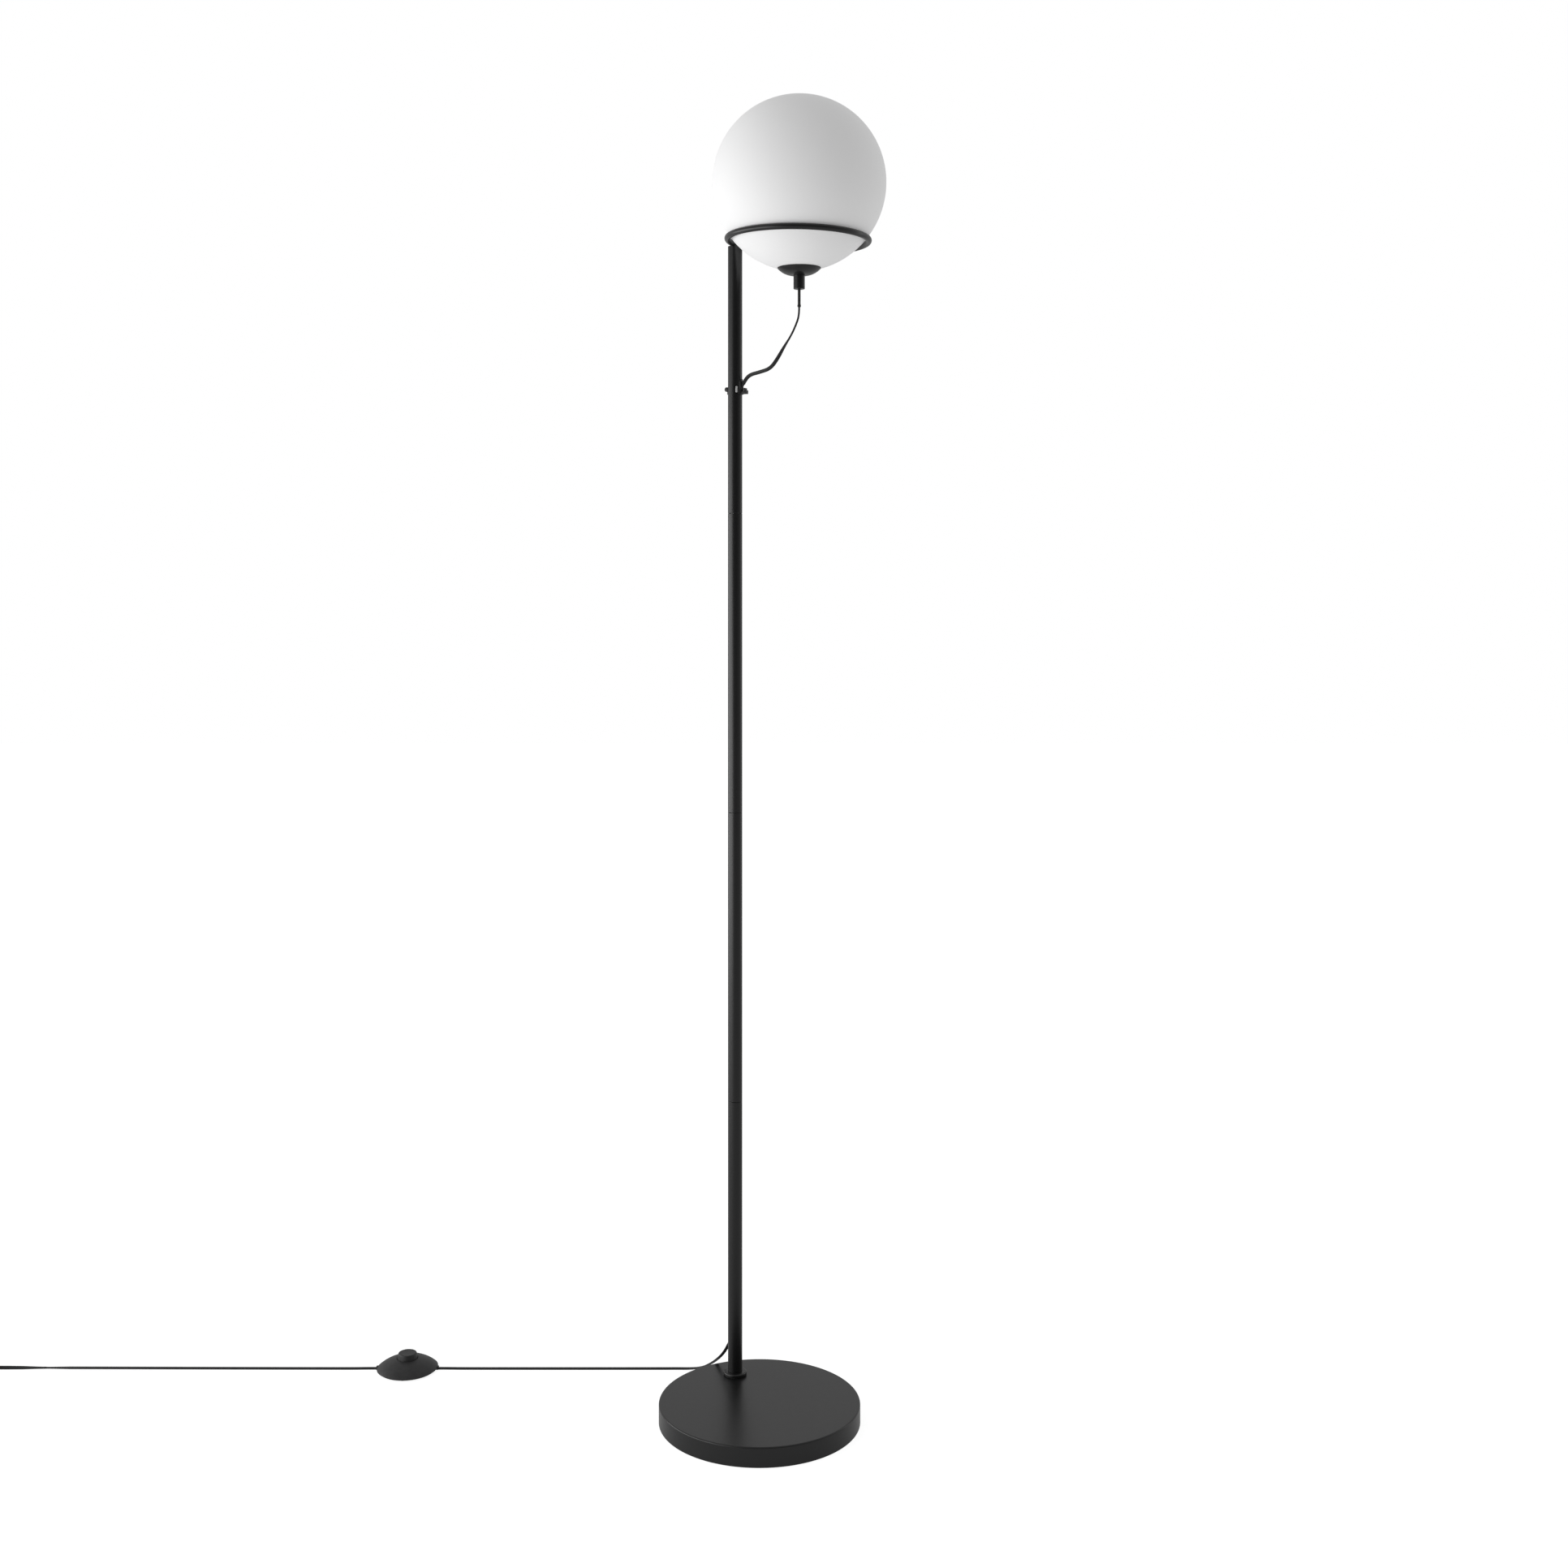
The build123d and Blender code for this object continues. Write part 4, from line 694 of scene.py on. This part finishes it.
# sleeve at the stem's lower end: a round-ended tube, a little thicker at its foot
def oblongRing(width, thick, count=32):
    straight, half = (width - thick) / 2, thick / 2
    turns = [2 * pi * (k + 0.5) / count for k in range(count)]
    return [(cos(turn) * half + (straight if cos(turn) > 0 else -straight), sin(turn) * half) for turn in turns]


def levelRing(bm, radius, height, around):
    return [bm.verts.new((radius * cos(2 * pi * k / around), radius * sin(2 * pi * k / around), height))
            for k in range(around)]


def standingAt(x, y):
    # from millimetres beside an upright axis to the row frame
    return Matrix.Scale(mm, 4) @ Matrix.Translation((x, y, 0))


sleeve = {"width": 5.4, "thick": 3.3, "foot": 0.35, "grip": 6.0}
levelsOut = [(sleeveBottom, -0.35), (sleeveBottom + 0.6, sleeve["foot"]), (sleeveBottom + 2.2, sleeve["foot"]),
             (sleeveBottom + 3.0, 0.0), (stemBottom + sleeve["grip"], 0.0)]
sections = []
for z, extra in levelsOut:
    sections.append([Vector((globeX + b, globeY + a, z)) * mm
                     for a, b in oblongRing(sleeve["width"] + 2 * min(extra, 0), sleeve["thick"] + 2 * extra)])
for z in (stemBottom + sleeve["grip"], sleeveBottom):
    sections.append([Vector((globeX + b, globeY + a, z)) * mm
                     for a, b in oblongRing(flex["width"] + 0.1, flex["thick"] + 0.1)])
sections.append(sections[0])
cordSleeve = addPiece("cordSleeve", sweptMesh("cordSleeve", sections, False), 50)
weldMesh = bmesh.new()
weldMesh.from_mesh(cordSleeve.data)
bmesh.ops.remove_doubles(weldMesh, verts=weldMesh.verts, dist=1e-7)
bmesh.ops.recalc_face_normals(weldMesh, faces=weldMesh.faces)
weldMesh.to_mesh(cordSleeve.data)
weldMesh.free()
place(cordSleeve, "head", "black_rubber", "cord_sleeve")

# cord clip: a band round the back of the pole, a lug with a screw, and a small hook that holds the cord
clipParts = {
    "foot": {"u": (8.0, 15.7), "v": (-3.2, 3.2), "z": (1166.9, 1169.8), "edge": 0.35},
    "leg": {"u": (12.6, 14.2), "v": (-3.2, 3.2), "z": (1169.4, 1173.7), "edge": 0.3},
    "tip": {"u": (14.7, 15.7), "v": (-3.2, 3.2), "z": (1169.4, 1171.2), "edge": 0.3},
    "lug": {"u": (-11.6, -8.0), "v": (-2.6, 2.6), "z": (1170.4, 1175.5), "edge": 0.45},
}
clipBands = {
    "back": {"from": 4.0, "to": 184.0, "low": 1166.9, "high": 1175.5, "inner": 8.40, "outer": 10.0},
    "hookSide": {"from": -42.0, "to": 6.0, "low": 1166.9, "high": 1169.8, "inner": 8.40, "outer": 10.0},
    "cover": {"from": -44.0, "to": -8.0, "low": 1169.2, "high": 1172.6, "inner": 9.30, "outer": 10.2},
}


def boxPoints(bm, part):
    made = bmesh.ops.create_cube(bm, size=1.0)["verts"]
    for v in made:
        v.co = Vector((part[axis][0] + (part[axis][1] - part[axis][0]) * (c + 0.5)
                       for axis, c in zip("uvz", v.co)))
    edges = list({e for v in made for e in v.link_edges})
    bmesh.ops.bevel(bm, geom=edges, offset=part["edge"], segments=3, profile=0.5, affect="EDGES")


def bandPoints(bm, band, steps=40, soft=0.2, edge=0.3):
    outline = [Vector(p[:2]) / mm for p in roundedOutline([
        (band["inner"], band["low"], soft), (band["outer"], band["low"], edge),
        (band["outer"], band["high"], edge), (band["inner"], band["high"], soft)], steps=3)]
    rings = []
    for k in range(steps + 1):
        turn = radians(band["from"] + (band["to"] - band["from"]) * k / steps)
        rings.append([bm.verts.new((p.x * cos(turn), p.x * sin(turn), p.y)) for p in outline])
    for a, b in zip(rings, rings[1:]):
        for i in range(len(a)):
            j = (i + 1) % len(a)
            bm.faces.new((a[i], a[j], b[j], b[i]))
    bm.faces.new(rings[0])
    bm.faces.new(rings[-1][::-1])


clipMesh = bmesh.new()
for part in clipParts.values():
    boxPoints(clipMesh, part)
for band in clipBands.values():
    bandPoints(clipMesh, band)
poleFrame = standingAt(pole["x"], pole["y"]) @ Matrix.Rotation(radians(ring["turn"]), 4, "Z")
clipMesh.transform(poleFrame)
cordClip = addPiece("cordClip", meshFrom("cordClip", clipMesh), 40)
place(cordClip, "stand", "black_plastic", "cord_clip")

# screw in the lug, with a cross recess in its domed head
screwHead = {"radius": 2.2, "height": 1.6, "shank": 1.2, "start": 11.6, "end": 6.2, "middle": 1172.95, "recess": 0.5,
             "around": 20, "profile": ((1, 0), (1, 0.45), (0.86, 0.8), (0.55, 1))}


def crossHeadMesh(bm, radius, height, recess, around=32):
    rings = [levelRing(bm, radius * wide, height * up, around) for wide, up in screwHead["profile"]]
    rings.append([bm.verts.new((0, 0, height))])
    for a, b in zip(rings, rings[1:]):
        for k in range(around):
            j = (k + 1) % around
            if len(b) == 1:
                bm.faces.new((a[k], a[j], b[0]))
            else:
                bm.faces.new((a[k], a[j], b[j], b[k]))
    bm.faces.new(rings[0][::-1])
    # the recess: four arms of the upper rings go down
    for k, v in enumerate(rings[3]):
        if min((k % 8), 8 - (k % 8)) <= 1:
            v.co.z -= recess
    rings[4][0].co.z -= recess * 1.6
    for k, v in enumerate(rings[2]):
        if k % 8 == 0:
            v.co.z -= recess * 0.4


screwBm = bmesh.new()
crossHeadMesh(screwBm, screwHead["radius"], screwHead["height"], screwHead["recess"])
ringsOfShank = [levelRing(screwBm, screwHead["shank"], z, screwHead["around"])
                for z in (0.0, screwHead["end"] - screwHead["start"])]
for k in range(screwHead["around"]):
    j = (k + 1) % screwHead["around"]
    screwBm.faces.new((ringsOfShank[0][k], ringsOfShank[0][j], ringsOfShank[1][j], ringsOfShank[1][k]))
screwBm.faces.new(ringsOfShank[0])
screwBm.faces.new(ringsOfShank[1])
screwBm.transform(poleFrame @ Matrix.Translation((-screwHead["start"], 0, screwHead["middle"]))
                  @ Matrix.Rotation(radians(-90), 4, "Y"))
clipScrew = addPiece("clipScrew", meshFrom("clipScrew", screwBm), 30)
place(clipScrew, "stand", "black_screw", "clip_screw")

# the oblong bung in the front slot: a domed face with a dark gap round it, coloured pale as a painted highlight
bung = {"width": 2.5, "height": 7.6, "middle": 1172.2}
bungSections = []
for inset, out in ((0.0, -1.6), (0.0, -0.1), (0.18, 0.3), (0.4, 0.45), (0.75, 0.5)):
    reach = pole["radius"] + out
    ringPoints = []
    for b, a in oblongRing(bung["height"] - 2 * inset, bung["width"] - 2 * inset, 28):
        spot = Matrix.Rotation(radians(slots["front"]["turn"]), 4, "Z") @ Vector((reach, a, 0))
        ringPoints.append(Vector((spot.x + pole["x"], spot.y + pole["y"], bung["middle"] + b)) * mm)
    bungSections.append(ringPoints)
slotBungPaintedHighlight = addPiece("slotBungPaintedHighlight", sweptMesh("slotBungPaintedHighlight", bungSections), 40)
# grey_plastic paints the bright streak in the slot onto the bung: a painted highlight
place(slotBungPaintedHighlight, "stand", "grey_plastic", "slot_plug")
print("sleeve, clip and bung made")

# foot switch: a lens-shaped housing, a button with a soft top edge and two cord glands
switchAt = (switch["x"], switch["y"])
dome = {"rimRadius": 36.4, "rimHeight": 2.9, "midRadius": 26.0, "midHeight": 9.9, "holeRadius": 12.5, "top": 14.4,
        "foot": 1.0, "lip": 34.0, "wall": 1.8, "steps": 28}


def domeLine(inset):
    # a circle through rim, middle and hole edge
    a = Vector((dome["rimRadius"] - inset, dome["rimHeight"]))
    b = Vector((dome["midRadius"] - inset / 3, dome["midHeight"] - inset))
    c = Vector((dome["holeRadius"], dome["top"] - inset))
    d = 2 * (a.x * (b.y - c.y) + b.x * (c.y - a.y) + c.x * (a.y - b.y))
    ux = (a.length_squared * (b.y - c.y) + b.length_squared * (c.y - a.y) + c.length_squared * (a.y - b.y)) / d
    uy = (a.length_squared * (c.x - b.x) + b.length_squared * (a.x - c.x) + c.length_squared * (b.x - a.x)) / d
    middle = Vector((ux, uy))
    start, end = atan2(a.y - uy, a.x - ux), atan2(c.y - uy, c.x - ux)
    size = (a - middle).length
    turns = [start + (end - start) * k / dome["steps"] for k in range(dome["steps"] + 1)]
    return [(middle + Vector((cos(turn), sin(turn))) * size) * mm for turn in turns]


outerLine, innerLine = domeLine(0), domeLine(dome["wall"])
edge = outerLine[-1]
outerLine[-1:] = [edge + Vector(step) * mm for step in ((0.9, -0.25), (0.35, -0.08), (0.05, -0.3))]
underRim = ((dome["lip"], dome["foot"]), (dome["rimRadius"] - 0.3, dome["rimHeight"] - 0.35),
            (dome["rimRadius"] - 0.03, dome["rimHeight"] - 0.08))
housingLine = [Vector(point) * mm for point in underRim] + outerLine + innerLine[::-1]
housingLine.append(Vector((dome["lip"] - 1.6, dome["foot"])) * mm)
switchHousing = turnedPiece("switchHousing", housingLine, switchAt, 160, 32)
notch = {"width": 4.9, "top": 4.2, "reach": 45, "edge": 0.6}
notchMesh = bmesh.new()
boxPoints(notchMesh, {"u": (-notch["reach"], notch["reach"]), "v": (-notch["width"] / 2, notch["width"] / 2),
                      "z": (-1, notch["top"]), "edge": notch["edge"]})
notchMesh.transform(standingAt(*switchAt))
cutAway(switchHousing, [addPiece("notchCutter", meshFrom("notchCutter", notchMesh))])
place(switchHousing, "stand", "black_plastic", "switch_housing")

button = {"low": 12.2, "top": 10.8, "height": 20.7, "hole": 14.4, "flange": 13.6, "flangeTop": 12.0,
          "flangeLow": 10.8, "bore": 9.5, "roof": 19.4, "edge": 1.3, "dish": 0.35}
dishLow = button["height"] - button["dish"]
buttonLine = roundedOutline([
    (0, button["roof"], 0), (button["bore"], button["roof"], 0.4), (button["bore"], button["flangeLow"], 0.2),
    (button["flange"], button["flangeLow"], 0.2), (button["flange"], button["flangeTop"], 0.2),
    (button["low"], button["flangeTop"], 0.2), (button["low"], button["hole"], 0),
    (button["top"], button["height"], button["edge"]),
    (button["top"] * 0.6, button["height"] - button["dish"] * 0.6, 0),
    (button["top"] * 0.3, dishLow, 0), (0, dishLow, 0)], closed=False, steps=6)
switchButton = turnedPiece("switchButton", buttonLine, switchAt, 96, 32)
place(switchButton, "button", "black_plastic", "switch_button")

gland = {"reach": 37.6, "inner": 23.0, "width": 4.7, "low": 0.35, "top": 4.1, "blockLength": 6.0, "blockHalf": 4.5,
         "blockHeights": (2.65, 5.5), "edge": 0.4}
glandMesh = bmesh.new()
for side in (-1, 1):
    ends = sorted((side * gland["inner"], side * gland["reach"]))
    boxPoints(glandMesh, {"u": ends, "v": (-gland["width"] / 2, gland["width"] / 2),
                          "z": (gland["low"], gland["top"]), "edge": gland["edge"]})
    block = sorted((side * gland["inner"], side * (gland["inner"] + gland["blockLength"])))
    boxPoints(glandMesh, {"u": block, "v": (-gland["blockHalf"], gland["blockHalf"]),
                          "z": gland["blockHeights"], "edge": gland["edge"]})
glandMesh.transform(standingAt(*switchAt))
switchGlands = addPiece("switchGlands", meshFrom("switchGlands", glandMesh), 40)
place(switchGlands, "stand", "black_plastic", "switch_glands")
print("foot switch made")

# plug: a flat moulded body with waisted sides, lofted from oblong sections
plug = {"relief": 22.0, "corner": 4.2, "overlap": 1.0, "tipRadius": 2.6, "bodyRadius": 4.4, "ribs": 6,
        "ribHeight": 0.45, "steps": 150, "around": 28}
# distance from the relief, width and thickness
bodySections = [(0.0, 9.6, 8.0), (0.5, 11.6, 9.6), (1.6, 13.2, 10.6), (5.0, 16.6, 11.4), (9.5, 22.6, 12.4),
                (14.0, 29.6, 13.2), (17.5, 33.4, 13.6), (20.5, 34.6, 13.7), (24.0, 34.9, 13.7), (29.0, 35.0, 13.7),
                (32.4, 35.0, 13.7), (33.4, 34.3, 13.0), (33.9, 33.0, 11.8), (34.0, 31.0, 9.8)]


def cornerSection(width, thick, corner, count=8):
    points = []
    reach = min(corner, thick / 2 - 0.05, width / 2 - 0.05)
    for quarter, (sx, sz) in enumerate(((1, 1), (-1, 1), (-1, -1), (1, -1))):
        for k in range(count):
            turn = pi / 2 * (quarter + k / (count - 1))
            points.append((sx * (width / 2 - reach) + reach * cos(turn),
                           sz * (thick / 2 - reach) + reach * sin(turn)))
    return points


plugSections = []
for y, width, thick in bodySections:
    plugSections.append([Vector((plugStart[0] + a, plugStart[1] - plug["relief"] - y, plugStart[2] + c)) * mm
                         for a, c in cornerSection(width, thick, plug["corner"])])
plugBody = addPiece("plugBody", sweptMesh("plugBody", plugSections), 40)
place(plugBody, "stand", "black_plastic", "plug_body")


# ribs of the strain relief, by Geometry Nodes: rings along a line that thicken towards the plug
def reliefTree():
    tree, add, link, inside = startTree("reliefRibs", (
        ("Length", "Float", 0.022), ("Tip Radius", "Float", 0.0021), ("Plug Radius", "Float", 0.0038),
        ("Ribs", "Int", 5), ("Rib Height", "Float", 0.0005), ("Start", "Vector", (0, 0, 0))))
    line = add("GeometryNodeCurvePrimitiveLine")
    resample = add("GeometryNodeResampleCurve")
    resample.inputs["Count"].default_value = plug["steps"]
    endPoint = add("ShaderNodeCombineXYZ")
    link(calc(tree, "MULTIPLY", inside.outputs["Length"], -1.0), endPoint.inputs["Y"])
    link(endPoint.outputs[0], line.inputs["End"])
    link(line.outputs[0], resample.inputs["Curve"])
    share = add("GeometryNodeSplineParameter").outputs["Factor"]
    spread = calc(tree, "SUBTRACT", inside.outputs["Plug Radius"], inside.outputs["Tip Radius"])
    taper = calc(tree, "MULTIPLY_ADD", share, spread, inside.outputs["Tip Radius"])
    turns = calc(tree, "MULTIPLY", calc(tree, "MULTIPLY", share, 2 * pi), inside.outputs["Ribs"])
    wave = calc(tree, "MAXIMUM", calc(tree, "SINE", turns), -0.35)
    deep = calc(tree, "MULTIPLY", wave, inside.outputs["Rib Height"])
    fade = calc(tree, "MULTIPLY", deep, calc(tree, "MINIMUM", calc(tree, "MULTIPLY", share, 4.0), 1.0))
    profile = add("GeometryNodeCurvePrimitiveCircle")
    profile.inputs["Resolution"].default_value = plug["around"]
    profile.inputs["Radius"].default_value = 1.0
    sweep = add("GeometryNodeCurveToMesh")
    sweep.inputs["Fill Caps"].default_value = True
    link(calc(tree, "ADD", taper, fade), sweep.inputs["Scale"])
    link(resample.outputs[0], sweep.inputs["Curve"])
    link(profile.outputs[0], sweep.inputs["Profile Curve"])
    endTree(add, link, inside, sweep.outputs[0], "Start")
    return tree


plugRelief = drawnByNodes("plugRelief", reliefTree(), {
    "Length": (plug["relief"] + plug["overlap"]) * mm, "Tip Radius": plug["tipRadius"] * mm,
    "Plug Radius": plug["bodyRadius"] * mm, "Ribs": plug["ribs"], "Rib Height": plug["ribHeight"] * mm,
    "Start": tuple(Vector(plugStart) * mm), "Finish": finishes["black_plastic"]})
place(plugRelief, "stand", "black_plastic", "plug_relief")
print("plug made")

# floor and light
floorMesh = bpy.data.meshes.new("studioFloor")
floorMesh.from_pydata([(-9, -9, 0), (9, -9, 0), (9, 9, 0), (-9, 9, 0)], [], [(0, 1, 2, 3)])
studioFloor = bpy.data.objects.new("studioFloor", floorMesh)
bpy.context.scene.collection.objects.link(studioFloor)
floorPaint = bpy.data.materials.new("paleFloor")
floorPaint.use_nodes = True
floorShader = floorPaint.node_tree.nodes["Principled BSDF"]
floorShader.inputs["Base Color"].default_value = (0.35, 0.35, 0.35, 1)
floorShader.inputs["Roughness"].default_value = 1.0
floorShader.inputs["Specular IOR Level"].default_value = 0.0
floorShader.inputs["Emission Color"].default_value = (1, 1, 1, 1)
floorSeen = floorPaint.node_tree.nodes.new("ShaderNodeLightPath")
floorGlow = ranged(floorPaint.node_tree, floorSeen.outputs["Is Camera Ray"], (0, 1), (0.30, 0.88))
floorPaint.node_tree.links.new(floorGlow, floorShader.inputs["Emission Strength"])    # whiter to the eye
floorMesh.materials.append(floorPaint)

softBoxes = {
    "keyLeft": {"at": (-2.3, -0.25, 0.64), "to": (0, 0.05, 0.6), "size": (3.4, 1.48), "power": 37},
    "highFront": {"at": (-2.0, -1.7, 2.3), "to": (0, 0.05, 1.3), "size": (1.4, 1.4), "power": 3},
    "lowFront": {"at": (-1.5, -1.6, 0.45), "to": (0.05, 0.03, 1.4), "size": (1.2, 0.8), "power": 4},
    "rightEdge": {"at": (2.2, 0.9, 1.1), "to": (0, 0.05, 1.0), "size": (0.5, 2.4), "power": 3},
}
for name, box in softBoxes.items():
    light = bpy.data.lights.new(name, "AREA")
    light.shape = "RECTANGLE"
    light.size, light.size_y = box["size"]
    light.energy = box["power"]
    lamp = bpy.data.objects.new(name, light)
    lamp.location = box["at"]
    lamp.rotation_euler = (Vector(box["to"]) - Vector(box["at"])).to_track_quat("-Z", "Y").to_euler()
    bpy.context.scene.collection.objects.link(lamp)

sky = bpy.data.worlds.new("studioRoom")
bpy.context.scene.world = sky
sky.use_nodes = True
skyTree = sky.node_tree
# the camera sees white; the lamp is lit by less from the front
room = {"white": 1.0, "above": 0.50, "front": 0.05, "behind": 0.52, "depths": (-0.85, 0.1), "heights": (0.25, 0.9)}
background = skyTree.nodes["Background"]
direction = skyTree.nodes.new("ShaderNodeTexCoord")
splitDirection = skyTree.nodes.new("ShaderNodeSeparateXYZ")
skyTree.links.new(direction.outputs["Generated"], splitDirection.inputs[0])
depth = ranged(skyTree, splitDirection.outputs["Y"], room["depths"], (room["front"], room["behind"]))
overhead = ranged(skyTree, splitDirection.outputs["Z"], room["heights"])
roomLight = mixed(skyTree, overhead, depth, room["above"])
seen = skyTree.nodes.new("ShaderNodeLightPath")
strength = mixed(skyTree, seen.outputs["Is Camera Ray"], roomLight, room["white"])
skyTree.links.new(strength, background.inputs["Strength"])
background.inputs["Color"].default_value = (1, 1, 1, 1)
print("studio made")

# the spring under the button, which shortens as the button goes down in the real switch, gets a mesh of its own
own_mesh(nodes["button_spring"])
ridingOnCord = [switchHousing, switchButton, switchGlands, plugBody, plugRelief]
ridingOnCord += [nodes[n] for n in ("plug_pins", "button_spring", "switch_base_plate", "switch_block", "switch_feet",
                                    "switch_plunger", "switch_screws", "switch_terminals", "switch_wires")]
